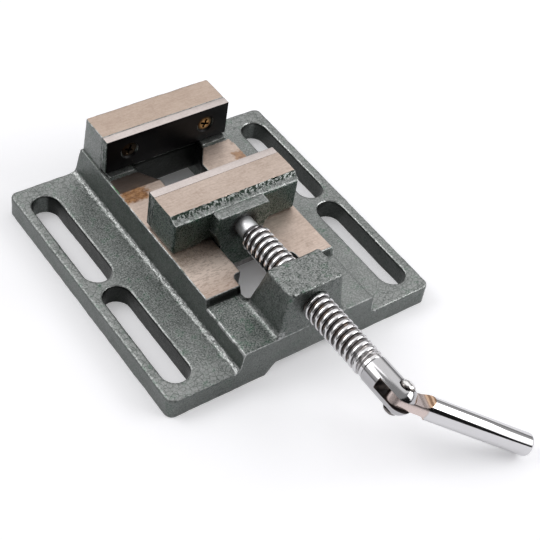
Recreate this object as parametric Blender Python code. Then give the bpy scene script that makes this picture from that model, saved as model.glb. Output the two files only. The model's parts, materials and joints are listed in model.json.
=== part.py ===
"""Drill press vise: cast base with slotted flanges, sliding jaw, trapezoidal screw, folding handle.

Metres, +Z up. The screw runs along Y, the fixed jaw is at +Y and the handle at -Y.
Everything is placed from the middle of the base plate, and the root empty then
carries the vise so that its origin is the middle of its bounding box, on the table.
"""
import math

import bmesh
import bpy
from mathutils import Matrix, Vector

# Clearances
TOUCH_GAP = 0.0003          # between pieces that are screwed or pressed together
SLIDE_GAP = 0.0005          # tongue to opening, each side
THREAD_GAP = 0.00025        # screw thread to nut thread, square to the surface
BORE_GAP = 0.0003           # shafts in their bores

# Base plate
BASE_WIDTH = 0.134
BASE_DEPTH = 0.134
BASE_THICKNESS = 0.010
BASE_CORNER_RADIUS = 0.0034
CAST_ROUND = 0.0009         # rounding of cast edges
SLOT_WIDTH = 0.0126
SLOT_RIM = 0.0046           # metal between a slot and the plate's side
SLOT_WEB = 0.0045           # metal between the two slots of one side
SLOT_END_RIM = 0.00775      # metal between a slot and the plate's front or rear edge

# Raised body between the flanges
BODY_FOOT_WIDTH = 0.068
BODY_TOP_WIDTH = 0.0648
FOOT_FILLET = 0.0022
PAD_HEIGHT = 0.0201         # cast pads at the front
WAY_HEIGHT = 0.0237         # machined ways
WAY_UNDERSIDE = 0.0093      # height of the faces that the keeper plate runs under
WAY_SETBACK = 0.0296        # front edge of the plate to the machined ways
WAY_RAMP = 0.0014           # slope of the step from pads to ways
CAST_STEP = 0.0002          # step where the upright parts stand back from the body

# Opening between the ways, open to the table
OPENING_WIDTH = 0.022
OPENING_FRONT = 0.0237      # front edge of the plate to the opening
OPENING_REAR_INSET = 0.0012  # how far it runs under the fixed jaw plate
NOTCH_WIDTH = 0.031         # widened front end, left by the core
NOTCH_LENGTH = 0.0125
REAR_NOTCH_WIDTH = 0.034    # widened rear end
REAR_NOTCH_LENGTH = 0.0136
REAR_NOTCH_TAPER = 0.0085   # part of that length over which it widens
NOTCH_CORNER = 0.0030
TUNNEL_FOOT_WIDTH = 0.040   # channel in the underside
TUNNEL_ROOF_WIDTH = 0.031
TUNNEL_ROOF = 0.0056
CAVITY_END_WALL = 0.0075    # metal left at the rear of the underside channel
CAVITY_FRONT_WALL = 0.0165  # length of the low channel under the front boss

# Fixed jaw
JAW_WIDTH = 0.063
FIXED_JAW_HEIGHT = 0.0427
FIXED_FACE_SETBACK = 0.0221  # rear edge of the plate to the gripping face
FIXED_JAW_TOP_BACK = 0.0036  # rear edge of the plate to the jaw's back at its top
LEDGE_HEIGHT = 0.0008       # cast step left between the ways and the jaw plate
LEDGE_DEPTH = 0.0026

# Screw boss of the base
BOSS_FOOT_WIDTH = 0.0324
BOSS_TOP_WIDTH = 0.0260
BOSS_TOP_DROP = 0.0001      # below the fixed jaw's top
BOSS_FRONT_LEAN = 0.0009
BOSS_REAR_LEAN = 0.0054
BOSS_CORNER = 0.0016

# Jaw plates and their screws
PLATE_THICKNESS = 0.0038
PLATE_HEIGHT = 0.0176
PLATE_EDGE = 0.0003
PLATE_SCREW_SPACING = 0.0395
PLATE_SCREW_DROP = 0.0084   # jaw top to the screws
PLATE_SCREW_RADIUS = 0.0020
PLATE_SCREW_HEAD_RADIUS = 0.0037
PLATE_SCREW_SINK = 0.0006   # head below the plate's face
PLATE_SCREW_LENGTH = 0.0110
PLATE_SCREW_CROSS = 0.0042  # span of the cross recess
PLATE_SCREW_CROSS_WIDTH = 0.0009
PLATE_SCREW_CROSS_DEPTH = 0.0013

# Moving jaw
REST_OPENING = 0.0342       # between the jaw plates, as it stands
MOVING_JAW_HEIGHT = 0.0430
MOVING_JAW_THICKNESS = 0.0168
MOVING_TOP_RIM = 0.0042     # sloped cast rim behind the machined top
MOVING_RIM_DROP = 0.0020
MOVING_CORNER = 0.0015
MOVING_BOSS_TOP_WIDTH = 0.0258
MOVING_BOSS_WIDE = 0.0282
MOVING_BOSS_LOW_WIDTH = 0.0226
MOVING_BOSS_DEPTH = 0.0048
MOVING_BOSS_TOP_DROP = 0.0022
RELIEF_WIDTH = 0.035        # underside clear of the ways near the tongue
RELIEF_HEIGHT = 0.0022

# Keeper plate under the ways, its screws and washers
KEEPER_WIDTH = 0.033
KEEPER_THICKNESS = 0.0040
KEEPER_INSET = 0.0010       # shorter than the tongue, each end
KEEPER_SCREW_SPACING = 0.0116
KEEPER_SCREW_FROM_REAR = 0.0062
KEEPER_SCREW_RADIUS = 0.0020
KEEPER_SCREW_GRIP = 0.0090  # length in the tongue
KEEPER_HEAD_RADIUS = 0.0038
KEEPER_HEAD_HEIGHT = 0.0024
KEEPER_SOCKET_RADIUS = 0.0015
KEEPER_SOCKET_DEPTH = 0.0013
WASHER_SLIT = 0.0010
WASHER_RADIUS = 0.0040
WASHER_THICKNESS = 0.0008

# Lead screw
SCREW_HEIGHT = 0.0325       # axis above the table
THREAD_RADIUS = 0.0065
THREAD_DEPTH = 0.0014
THREAD_PITCH = 0.003175
THREAD_CREST = 0.00125      # flat on the crest
THREAD_FLANK_ANGLE = math.radians(14.5)
THREAD_STEPS = 20
THREAD_LENGTH = 0.0805
NECK_RADIUS = 0.00435
NECK_LENGTH = 0.0072        # bare neck between the moving jaw and the thread
NOSE_LENGTH = 0.0165        # length of the nose inside the moving jaw
NOSE_CHAMFER = 0.0008
GROOVE_RADIUS = 0.0030
GROOVE_WIDTH = 0.0036
GROOVE_FROM_BOSS = 0.0065   # moving boss face to the middle of the groove
RUNOUT_LENGTH = 0.0018
RUNOUT_RADIUS = 0.0050
CLEVIS_RADIUS = 0.0063
CLEVIS_CHAMFER = 0.0007
CLEVIS_LENGTH = 0.0232
CLEVIS_SLOT_WIDTH = 0.0048
CLEVIS_EAR = 0.0070         # rivet to the end of the ears
CLEVIS_SLOT_REACH = 0.0082  # rivet to the bottom of the slot
SPOT_FACE = 0.0056          # screw axis to the flat under a rivet head
PIN_RADIUS = 0.0015         # spring pins that hold the nose
PIN_BORE = 0.0008           # radius of the spring pin's own hollow
PIN_SLIT = 0.0006
PIN_REACH = 0.0055          # screw axis to the top of the pins

# Rivet and handle
RIVET_RADIUS = 0.0020
RIVET_HEAD_RADIUS = 0.0033
RIVET_HEAD_HEIGHT = 0.0019
RIVET_ROLL = math.radians(60.6)  # turn of the screw, from the X axis to the rivet
HANDLE_RADIUS = 0.0050
HANDLE_LENGTH = 0.0645      # rivet to the far end
HANDLE_END_ROUND = 0.0012
TANG_LENGTH = 0.0088        # rivet to the start of the shoulder
SHOULDER_RADIUS = 0.0065    # cutter that leaves the concave shoulder
TIP_GAP = 0.0001            # handle tip above the table

# Places worked out from the sizes
BASE_FRONT = -BASE_DEPTH / 2
BASE_REAR = BASE_DEPTH / 2
FIXED_FACE = BASE_REAR - FIXED_FACE_SETBACK
FIXED_SEAT = FIXED_FACE + PLATE_THICKNESS + TOUCH_GAP
MOVING_FACE = FIXED_FACE - REST_OPENING
MOVING_SEAT = MOVING_FACE - PLATE_THICKNESS - TOUCH_GAP
MOVING_REAR = MOVING_SEAT - MOVING_JAW_THICKNESS
MOVING_BOSS_FACE = MOVING_REAR - MOVING_BOSS_DEPTH
MOVING_BOTTOM = WAY_HEIGHT + TOUCH_GAP
TONGUE_WIDTH = OPENING_WIDTH - 2 * SLIDE_GAP
OPENING_START = BASE_FRONT + OPENING_FRONT
OPENING_END = FIXED_FACE + OPENING_REAR_INSET
WAY_START = BASE_FRONT + WAY_SETBACK
KEEPER_TOP = WAY_UNDERSIDE - TOUCH_GAP
KEEPER_BOTTOM = KEEPER_TOP - KEEPER_THICKNESS
WASHER_BOTTOM = KEEPER_BOTTOM - TOUCH_GAP - WASHER_THICKNESS
NECK_END = MOVING_BOSS_FACE - NECK_LENGTH
THREAD_END = NECK_END - THREAD_LENGTH
CLEVIS_START = THREAD_END - RUNOUT_LENGTH
SCREW_END = CLEVIS_START - CLEVIS_LENGTH
RIVET_Y = SCREW_END + CLEVIS_EAR
GROOVE_Y = MOVING_BOSS_FACE + GROOVE_FROM_BOSS
PIN_TOP = SCREW_HEIGHT + PIN_REACH
KEEPER_SCREW_Y = MOVING_SEAT - KEEPER_SCREW_FROM_REAR
THREAD_ROOT = THREAD_RADIUS - THREAD_DEPTH
TANG_THICKNESS = CLEVIS_SLOT_WIDTH - 2 * TOUCH_GAP


def clear_scene():
    for obj in list(bpy.data.objects):
        bpy.data.objects.remove(obj, do_unlink=True)


def make_material(name, color, roughness, metallic):
    material = bpy.data.materials.new(name)
    material.use_nodes = True
    shader = material.node_tree.nodes["Principled BSDF"]
    shader.inputs["Base Color"].default_value = (*color, 1.0)
    shader.inputs["Roughness"].default_value = roughness
    shader.inputs["Metallic"].default_value = metallic
    material.diffuse_color = (*color, 1.0)
    return material


def make_object(name, bm, material=None, origin=(0, 0, 0)):
    """Turns a bmesh in base coordinates into an object whose origin is at the given point."""
    bmesh.ops.translate(bm, verts=bm.verts, vec=-Vector(origin))
    mesh = bpy.data.meshes.new(name)
    bm.to_mesh(mesh)
    bm.free()
    obj = bpy.data.objects.new(name, mesh)
    obj.location = origin
    bpy.context.collection.objects.link(obj)
    if material:
        mesh.materials.append(material)
        mesh.shade_smooth()
        mesh.set_sharp_from_angle(angle=math.radians(32))
    return obj


def loft(sections):
    """Closed solid through loops of points that all have the same count."""
    bm = bmesh.new()
    rings = [[bm.verts.new(point) for point in section] for section in sections]
    count = len(rings[0])
    for lower, upper in zip(rings, rings[1:]):
        for i in range(count):
            j = (i + 1) % count
            bm.faces.new((lower[i], lower[j], upper[j], upper[i]))
    bm.faces.new(rings[0])
    bm.faces.new(rings[-1])
    bmesh.ops.recalc_face_normals(bm, faces=bm.faces)
    return bm


def prism_x(outline, width):
    """Outline of (y, z) points carried across X, centred."""
    return loft([[(x, y, z) for y, z in outline] for x in (-width / 2, width / 2)])


def prism_z(outline, low, high):
    """Outline of (x, y) points carried from one height to another."""
    return loft([[(x, y, z) for x, y in outline] for z in (low, high)])


def box(x_range, y_range, z_range):
    outline = [(x_range[0], y_range[0]), (x_range[1], y_range[0]),
               (x_range[1], y_range[1]), (x_range[0], y_range[1])]
    return prism_z(outline, *z_range)


def rounded_rectangle(x_range, y_range, radius, steps=6):
    """Points of a rectangle with round corners, counterclockwise."""
    corners = ((x_range[1], y_range[1], 0), (x_range[0], y_range[1], 1),
               (x_range[0], y_range[0], 2), (x_range[1], y_range[0], 3))
    points = []
    for x, y, quarter in corners:
        centre_x = x - math.copysign(radius, x - sum(x_range) / 2)
        centre_y = y - math.copysign(radius, y - sum(y_range) / 2)
        for i in range(steps + 1):
            angle = math.pi / 2 * (quarter + i / steps)
            points.append((centre_x + radius * math.cos(angle), centre_y + radius * math.sin(angle)))
    return points


def quarter_arc(steps):
    """Sine and one minus cosine of each step of a quarter turn."""
    angles = [math.pi / 2 * i / steps for i in range(steps + 1)]
    return [(math.sin(angle), 1 - math.cos(angle)) for angle in angles]


def lathe(profile, steps=32):
    """Turns (radius, y) points about the Y axis. The profile starts and ends on the axis."""
    bm = bmesh.new()
    verts = [bm.verts.new((radius, y, 0)) for radius, y in profile]
    edges = [bm.edges.new(pair) for pair in zip(verts, verts[1:])]
    bmesh.ops.spin(bm, geom=verts + edges, axis=(0, 1, 0), cent=(0, 0, 0), dvec=(0, 0, 0),
                   angle=2 * math.pi, steps=steps, use_merge=True, use_duplicate=False)
    bmesh.ops.remove_doubles(bm, verts=bm.verts, dist=1e-7)
    bmesh.ops.recalc_face_normals(bm, faces=bm.faces)
    return bm


def cylinder(radius, start, end, steps=32):
    """Cylinder about the Y axis between two values of Y."""
    return lathe([(0, start), (radius, start), (radius, end), (0, end)], steps)


def moved(bm, matrix):
    bmesh.ops.transform(bm, matrix=matrix, verts=bm.verts)
    return bm


def standing(bm, x, y, z=0.0):
    """Turns a lathed piece upright: its +Y becomes +Z."""
    return moved(bm, Matrix.Translation((x, y, z)) @ Matrix.Rotation(math.pi / 2, 4, "X"))


def round_edges(bm, width, choose, segments=2):
    edges = [edge for edge in bm.edges if choose(edge)]
    bmesh.ops.bevel(bm, geom=edges, offset=width, offset_type="OFFSET", segments=segments,
                    profile=0.5, affect="EDGES", clamp_overlap=True, material=-1)
    return bm


def edge_range(edge, axis):
    values = [vert.co[axis] for vert in edge.verts]
    return min(values), max(values)


def combine(target, bm, operation, name="cutter"):
    """Adds or cuts a bmesh solid with a Boolean modifier, then keeps the result as the mesh."""
    tool = make_object(name, bm)
    tool.hide_render = True
    tool.display_type = "WIRE"
    modifier = target.modifiers.new(name, "BOOLEAN")
    modifier.object = tool
    modifier.operation = operation
    modifier.solver = "EXACT"
    depsgraph = bpy.context.evaluated_depsgraph_get()
    result = bpy.data.meshes.new_from_object(target.evaluated_get(depsgraph))
    target.modifiers.clear()
    old_mesh = target.data
    target.data = result
    bpy.data.meshes.remove(old_mesh)
    bpy.data.objects.remove(tool, do_unlink=True)


def add(target, bm):
    combine(target, bm, "UNION", "added")


def cut(target, bm):
    combine(target, bm, "DIFFERENCE", "cut")


def finish(obj, material):
    """Merges what the Booleans left double, drops stray edges and shades the piece."""
    bm = bmesh.new()
    bm.from_mesh(obj.data)
    bmesh.ops.remove_doubles(bm, verts=bm.verts, dist=2e-6)
    bmesh.ops.dissolve_degenerate(bm, edges=bm.edges, dist=1e-6)
    bmesh.ops.dissolve_limit(bm, angle_limit=math.radians(0.3), verts=bm.verts, edges=bm.edges)
    bmesh.ops.recalc_face_normals(bm, faces=bm.faces)
    bm.to_mesh(obj.data)
    bm.free()
    obj.data.name = obj.name
    obj.data.materials.clear()
    obj.data.materials.append(material)
    obj.data.shade_smooth()
    obj.data.set_sharp_from_angle(angle=math.radians(32))
    return obj


def thread_solid(start, end, grow=0.0):
    """Threaded rod about the Y axis. grow moves its surface out, for the nut's cutter."""
    crest_radius = THREAD_RADIUS + grow
    root_radius = THREAD_ROOT + grow
    flank_run = THREAD_DEPTH * math.tan(THREAD_FLANK_ANGLE)
    flank_shift = grow / math.cos(THREAD_FLANK_ANGLE) - grow * math.tan(THREAD_FLANK_ANGLE)
    half_crest = THREAD_CREST / 2 + flank_shift
    half_foot = half_crest + flank_run
    turns = math.ceil((end - start) / THREAD_PITCH) + 3
    first = math.floor(start / THREAD_PITCH) - 1
    bm = bmesh.new()
    verts = []
    for i in range(turns):
        middle = (first + i) * THREAD_PITCH
        for radius, y in ((root_radius, middle - half_foot), (crest_radius, middle - half_crest),
                          (crest_radius, middle + half_crest), (root_radius, middle + half_foot)):
            verts.append(bm.verts.new((radius, y, 0)))
    edges = [bm.edges.new(pair) for pair in zip(verts, verts[1:])]
    bmesh.ops.spin(bm, geom=verts + edges, axis=(0, 1, 0), cent=(0, 0, 0),
                   dvec=(0, THREAD_PITCH / THREAD_STEPS, 0), angle=2 * math.pi,
                   steps=THREAD_STEPS, use_merge=False, use_duplicate=False)
    bmesh.ops.remove_doubles(bm, verts=bm.verts, dist=1e-6)
    for side in (-1, 1):
        close_end(bm, side)
    bmesh.ops.recalc_face_normals(bm, faces=bm.faces)
    for y, normal in ((start, -1), (end, 1)):
        geometry = bm.verts[:] + bm.edges[:] + bm.faces[:]
        cut_result = bmesh.ops.bisect_plane(bm, geom=geometry, dist=1e-8, plane_co=(0, y, 0),
                                            plane_no=(0, normal, 0), clear_outer=True)
        rim = [item for item in cut_result["geom_cut"] if isinstance(item, bmesh.types.BMEdge)]
        bmesh.ops.holes_fill(bm, edges=rim, sides=0)
    bmesh.ops.recalc_face_normals(bm, faces=bm.faces)
    return bm


def close_end(bm, side):
    """Closes one open end of the helical tube with a fan to a point on the axis."""
    rim = [edge for edge in bm.edges if edge.is_boundary]
    middle = sum(edge.verts[0].co.y for edge in bm.edges) / len(bm.edges)
    rim = [edge for edge in rim if (edge.verts[0].co.y - middle) * side > 0]
    reach = max(vert.co.y * side for edge in rim for vert in edge.verts)
    centre = bm.verts.new((0, side * reach, 0))
    for edge in rim:
        bm.faces.new((edge.verts[0], edge.verts[1], centre))


def at_screw(bm):
    """Lifts a piece made about the Y axis to the screw's height."""
    return moved(bm, Matrix.Translation((0, 0, SCREW_HEIGHT)))


def flange_plate():
    """Plate with round corners and a small round on its upper edge."""
    sections = []
    half_x = BASE_WIDTH / 2
    half_y = BASE_DEPTH / 2
    levels = [(0.0, 0.0)]
    for sine, inset in quarter_arc(3):
        levels.append((BASE_THICKNESS - CAST_ROUND * (1 - sine), CAST_ROUND * inset))
    for z, inset in levels:
        outline = rounded_rectangle((-half_x + inset, half_x - inset), (-half_y + inset, half_y - inset),
                                    BASE_CORNER_RADIUS - inset)
        sections.append([(x, y, z) for x, y in outline])
    return loft(sections)


def body_half_width(z):
    slope = (BODY_FOOT_WIDTH - BODY_TOP_WIDTH) / 2 / (WAY_HEIGHT - BASE_THICKNESS)
    return BODY_FOOT_WIDTH / 2 - slope * (z - BASE_THICKNESS)


def body_rear(z):
    """The casting's back leans in from the plate's rear edge to the jaw's top."""
    share = (z - BASE_THICKNESS) / (FIXED_JAW_HEIGHT - BASE_THICKNESS)
    return BASE_REAR - FIXED_JAW_TOP_BACK * max(0.0, share)


def body_section():
    """Half section of the body as (half width, height), from inside the plate to the ways."""
    points = [(body_half_width(BASE_THICKNESS) + FOOT_FILLET, BASE_THICKNESS / 2)]
    for sine, rise in quarter_arc(4):
        z = BASE_THICKNESS + FOOT_FILLET * rise
        points.append((body_half_width(z) + FOOT_FILLET * (1 - sine), z))
    points.append((body_half_width(WAY_HEIGHT), WAY_HEIGHT))
    return points


def raised_body():
    half = body_section()
    front = [(x, BASE_FRONT, z) for x, z in half] + [(-x, BASE_FRONT, z) for x, z in reversed(half)]
    rear = [(x, body_rear(z), z) for x, _, z in front]
    return loft([front, rear])


def above_pads():
    """Cutter that leaves the low cast pads in front of the ways, with a sloped step between."""
    low = PAD_HEIGHT - CAST_ROUND
    high = WAY_HEIGHT + CAST_ROUND
    far = BODY_FOOT_WIDTH / 2 + CAST_ROUND
    edge = body_half_width(PAD_HEIGHT)
    half = [(far, high), (far, low), (edge + 0.1 * CAST_ROUND, low),
            (edge - 0.3 * CAST_ROUND, PAD_HEIGHT - 0.3 * CAST_ROUND), (edge - CAST_ROUND, PAD_HEIGHT)]
    outline = half + [(-x, z) for x, z in reversed(half)]
    slope = WAY_RAMP / (WAY_HEIGHT - PAD_HEIGHT)
    front = [(x, BASE_FRONT - CAST_ROUND, z) for x, z in outline]
    rear = [(x, WAY_START + slope * (z - WAY_HEIGHT), z) for x, z in outline]
    return loft([front, rear])


def fixed_jaw_block():
    """Upright jaw of the base, with a flat seat for its plate and cast corners at the back."""
    low = PAD_HEIGHT
    outline = [(FIXED_SEAT, low), (body_rear(low) - CAST_STEP, low),
               (body_rear(FIXED_JAW_HEIGHT) - CAST_STEP, FIXED_JAW_HEIGHT), (FIXED_SEAT, FIXED_JAW_HEIGHT)]
    block = prism_x(outline, JAW_WIDTH)

    def at_back(edge):
        low_z, high_z = edge_range(edge, 2)
        return edge_range(edge, 1)[0] > FIXED_SEAT + 0.001 and high_z - low_z > 0.001

    return round_edges(block, CAST_ROUND, at_back)


def screw_boss():
    """Tapered boss for the screw, from its flared foot to its rounded top."""
    top = FIXED_JAW_HEIGHT - BOSS_TOP_DROP

    def section(z, flare, inset):
        share = max(0.0, (z - PAD_HEIGHT) / (top - PAD_HEIGHT))
        half = (BOSS_FOOT_WIDTH + (BOSS_TOP_WIDTH - BOSS_FOOT_WIDTH) * share) / 2 + flare - inset
        front = BASE_FRONT + CAST_STEP + BOSS_FRONT_LEAN * share + inset
        rear = OPENING_START - CAST_STEP - BOSS_REAR_LEAN * share + flare - inset
        outline = rounded_rectangle((-half, half), (front, rear), BOSS_CORNER, 3)
        return [(x, y, z) for x, y in outline]

    sections = [section(PAD_HEIGHT - FOOT_FILLET, FOOT_FILLET, 0.0)]
    for sine, rise in quarter_arc(4):
        sections.append(section(PAD_HEIGHT + FOOT_FILLET * rise, FOOT_FILLET * (1 - sine), 0.0))
    for sine, inset in quarter_arc(3):
        sections.append(section(top - CAST_ROUND * (1 - sine), 0.0, CAST_ROUND * inset))
    return loft(sections)


def slot_cutter(x, y_range):
    """Slot with round ends, opening a little at its upper rim."""
    sections = []
    levels = [(-CAST_ROUND, 0.0)]
    for sine, inset in quarter_arc(2):
        levels.append((BASE_THICKNESS - CAST_ROUND * (1 - sine), CAST_ROUND * inset))
    levels.append((BASE_THICKNESS + CAST_ROUND, CAST_ROUND))
    for z, grow in levels:
        half = SLOT_WIDTH / 2 + grow
        outline = rounded_rectangle((x - half, x + half), (y_range[0] - grow, y_range[1] + grow),
                                    half - 1e-6, 6)
        sections.append([(px, py, z) for px, py in outline])
    return loft(sections)


def opening_outline():
    """Opening between the ways: a wide round-cornered front end, a neck and a flaring rear end."""
    neck = OPENING_WIDTH / 2
    radius = NOTCH_CORNER
    notch_x = NOTCH_WIDTH / 2 - radius
    notch_end = OPENING_START + NOTCH_LENGTH
    half = [(notch_x + radius * sine, OPENING_START + radius * drop) for sine, drop in quarter_arc(4)]
    half += [(notch_x + radius * (1 - drop), notch_end - radius * (1 - sine))
             for sine, drop in quarter_arc(4)]
    flare_start = OPENING_END - REAR_NOTCH_LENGTH
    half += [(neck, notch_end), (neck, flare_start),
             (REAR_NOTCH_WIDTH / 2, flare_start + REAR_NOTCH_TAPER), (REAR_NOTCH_WIDTH / 2, OPENING_END)]
    return half + [(-x, y) for x, y in reversed(half)]


def base_casting(material):
    base = make_object("base_casting", flange_plate())
    add(base, raised_body())
    add(base, fixed_jaw_block())
    for side in (-1, 1):
        inner = side * REAR_NOTCH_WIDTH / 2
        outer = side * (JAW_WIDTH / 2 - CAST_ROUND)
        add(base, box(sorted((inner - side * CAST_ROUND, outer)),
                      (FIXED_FACE - LEDGE_DEPTH, FIXED_SEAT + CAST_ROUND),
                      (PAD_HEIGHT, WAY_HEIGHT + LEDGE_HEIGHT)))
    cut(base, above_pads())
    add(base, screw_boss())

    slot_x = BASE_WIDTH / 2 - SLOT_RIM - SLOT_WIDTH / 2
    for side in (-1, 1):
        for end in (-1, 1):
            reach = sorted((end * SLOT_WEB / 2, end * (BASE_DEPTH / 2 - SLOT_END_RIM)))
            cut(base, slot_cutter(side * slot_x, reach))

    opening_top = WAY_HEIGHT + LEDGE_HEIGHT + TOUCH_GAP / 2
    cut(base, prism_z(opening_outline(), -CAST_ROUND, opening_top))

    cavity_start = BASE_FRONT + CAVITY_FRONT_WALL
    foot = TUNNEL_FOOT_WIDTH / 2
    cut(base, box((-foot, foot), (cavity_start, BASE_REAR - CAVITY_END_WALL), (-CAST_ROUND, WAY_UNDERSIDE)))
    roof = TUNNEL_ROOF_WIDTH / 2
    tunnel = [(-foot, -CAST_ROUND), (foot, -CAST_ROUND), (foot, 0), (roof, TUNNEL_ROOF),
              (-roof, TUNNEL_ROOF), (-foot, 0)]
    cut(base, loft([[(x, y, z) for x, z in tunnel]
                    for y in (BASE_FRONT - CAST_ROUND, cavity_start + CAST_ROUND)]))

    nut_thread = thread_solid(BASE_FRONT - THREAD_PITCH / 2, OPENING_START + THREAD_PITCH / 2, THREAD_GAP)
    cut(base, at_screw(nut_thread))
    for side in (-1, 1):
        hole = cylinder(PLATE_SCREW_RADIUS + BORE_GAP, FIXED_SEAT - CAST_ROUND,
                        FIXED_FACE + PLATE_SCREW_LENGTH + TOUCH_GAP, 20)
        cut(base, moved(hole, Matrix.Translation((side * PLATE_SCREW_SPACING / 2, 0,
                                                  FIXED_JAW_HEIGHT - PLATE_SCREW_DROP))))
    return finish(base, material)


def jaw_plate(name, top, material):
    """Jaw plate with its face at y = 0, countersunk for two screws, its back towards +Y."""
    bottom = top - PLATE_HEIGHT
    half = JAW_WIDTH / 2
    bm = box((-half, half), (0, PLATE_THICKNESS), (bottom, top))
    round_edges(bm, PLATE_EDGE, lambda edge: True, 1)
    plate = make_object(name, bm)
    grow = BORE_GAP * math.sqrt(2)
    mouth = PLATE_SCREW_HEAD_RADIUS + PLATE_SCREW_SINK + grow
    throat = PLATE_SCREW_RADIUS + BORE_GAP
    for side in (-1, 1):
        hole = lathe([(0, -PLATE_EDGE), (mouth + PLATE_EDGE, -PLATE_EDGE), (throat, mouth - throat),
                      (throat, PLATE_THICKNESS + PLATE_EDGE), (0, PLATE_THICKNESS + PLATE_EDGE)], 24)
        cut(plate, moved(hole, Matrix.Translation((side * PLATE_SCREW_SPACING / 2, 0,
                                                   top - PLATE_SCREW_DROP))))
    return finish(plate, material)


def plate_screw(name, material):
    """Countersunk screw with a cross recess, pointing along +Y from the plate's face at y = 0."""
    head = PLATE_SCREW_HEAD_RADIUS
    shank = PLATE_SCREW_RADIUS
    face = PLATE_SCREW_SINK
    end = PLATE_SCREW_LENGTH
    screw = make_object(name, lathe([(0, face), (head, face), (shank, face + head - shank),
                                     (shank, end - shank / 4), (shank * 0.75, end), (0, end)], 24))
    span = PLATE_SCREW_CROSS / 2
    arm = PLATE_SCREW_CROSS_WIDTH / 2
    depth = (face - PLATE_SCREW_SINK - TOUCH_GAP, face + PLATE_SCREW_CROSS_DEPTH)
    cut(screw, box((-span, span), depth, (-arm, arm)))
    cut(screw, box((-arm, arm), depth, (-span, span)))
    return finish(screw, material)


def moving_jaw_block():
    top = MOVING_JAW_HEIGHT
    outline = [(MOVING_SEAT, MOVING_BOTTOM), (MOVING_SEAT, top), (MOVING_REAR + MOVING_TOP_RIM, top),
               (MOVING_REAR, top - MOVING_RIM_DROP), (MOVING_REAR, MOVING_BOTTOM)]
    block = prism_x(outline, JAW_WIDTH)

    def cast_edge(edge):
        low_y, high_y = edge_range(edge, 1)
        at_rear = high_y < MOVING_REAR + 1e-5
        at_bottom = edge_range(edge, 2)[1] < MOVING_BOTTOM + 1e-5
        return (at_rear or at_bottom) and low_y < MOVING_SEAT - 1e-5

    return round_edges(block, MOVING_CORNER, cast_edge, 3)


def moving_boss():
    """Boss behind the moving jaw that takes the screw's nose."""
    top = MOVING_JAW_HEIGHT - MOVING_BOSS_TOP_DROP
    bottom = MOVING_BOTTOM + TOUCH_GAP
    half = [(MOVING_BOSS_LOW_WIDTH / 2, bottom), (MOVING_BOSS_LOW_WIDTH / 2 + CAST_ROUND, bottom + 0.0035),
            (MOVING_BOSS_WIDE / 2, SCREW_HEIGHT - CAST_ROUND), (MOVING_BOSS_TOP_WIDTH / 2, top - CAST_ROUND),
            (MOVING_BOSS_TOP_WIDTH / 2 - CAST_ROUND, top)]
    outline = half + [(-x, z) for x, z in reversed(half)]
    middle = (bottom + top) / 2
    rear = MOVING_REAR + CAST_ROUND
    sections = [[(x, rear, z) for x, z in outline]]
    for sine, inset in quarter_arc(3):
        shrink = 1 - CAST_ROUND * inset / (MOVING_BOSS_TOP_WIDTH / 2)
        y = MOVING_BOSS_FACE + CAST_ROUND * (1 - sine)
        sections.append([(x * shrink, y, middle + (z - middle) * shrink) for x, z in outline])
    return loft(sections)


def pin_places():
    """Sides of the groove where the two pins stand, touching its floor."""
    reach = GROOVE_RADIUS + PIN_RADIUS + TOUCH_GAP / 2
    return (-reach, reach)


def moving_jaw_casting(material):
    jaw = make_object("moving_jaw_casting", moving_jaw_block())
    add(jaw, moving_boss())
    half = RELIEF_WIDTH / 2
    cut(jaw, box((-half, half), (MOVING_REAR - CAST_ROUND, MOVING_SEAT + CAST_ROUND),
                 (MOVING_BOTTOM - CAST_ROUND, MOVING_BOTTOM + RELIEF_HEIGHT)))
    half = TONGUE_WIDTH / 2
    tongue = box((-half, half), (MOVING_BOSS_FACE, MOVING_SEAT),
                 (WAY_UNDERSIDE, MOVING_BOTTOM + RELIEF_HEIGHT + CAST_ROUND))
    add(jaw, tongue)
    bore = cylinder(NECK_RADIUS + BORE_GAP, MOVING_BOSS_FACE - CAST_ROUND,
                    MOVING_BOSS_FACE + NOSE_LENGTH + TOUCH_GAP)
    cut(jaw, at_screw(bore))
    for x in pin_places():
        hole = cylinder(PIN_RADIUS + BORE_GAP, WAY_UNDERSIDE - CAST_ROUND, PIN_TOP + TOUCH_GAP, 20)
        cut(jaw, standing(hole, x, GROOVE_Y))
    for side in (-1, 1):
        hole = cylinder(KEEPER_SCREW_RADIUS + BORE_GAP, WAY_UNDERSIDE - CAST_ROUND,
                        WAY_UNDERSIDE + KEEPER_SCREW_GRIP + TOUCH_GAP, 20)
        cut(jaw, standing(hole, side * KEEPER_SCREW_SPACING / 2, KEEPER_SCREW_Y))
        hole = cylinder(PLATE_SCREW_RADIUS + BORE_GAP, MOVING_FACE - PLATE_SCREW_LENGTH - TOUCH_GAP,
                        MOVING_SEAT + CAST_ROUND, 20)
        cut(jaw, moved(hole, Matrix.Translation((side * PLATE_SCREW_SPACING / 2, 0,
                                                 MOVING_JAW_HEIGHT - PLATE_SCREW_DROP))))
    return finish(jaw, material)


def keeper_plate(material):
    """Plate screwed under the tongue, which holds the jaw down on the ways."""
    outline = rounded_rectangle((-KEEPER_WIDTH / 2, KEEPER_WIDTH / 2),
                                (MOVING_BOSS_FACE + KEEPER_INSET, MOVING_SEAT - KEEPER_INSET), CAST_ROUND, 3)
    keeper = make_object("keeper_plate", prism_z(outline, KEEPER_BOTTOM, KEEPER_TOP))
    for side in (-1, 1):
        hole = cylinder(KEEPER_SCREW_RADIUS + BORE_GAP, KEEPER_BOTTOM - CAST_ROUND,
                        KEEPER_TOP + CAST_ROUND, 20)
        cut(keeper, standing(hole, side * KEEPER_SCREW_SPACING / 2, KEEPER_SCREW_Y))
    return finish(keeper, material)


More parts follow.
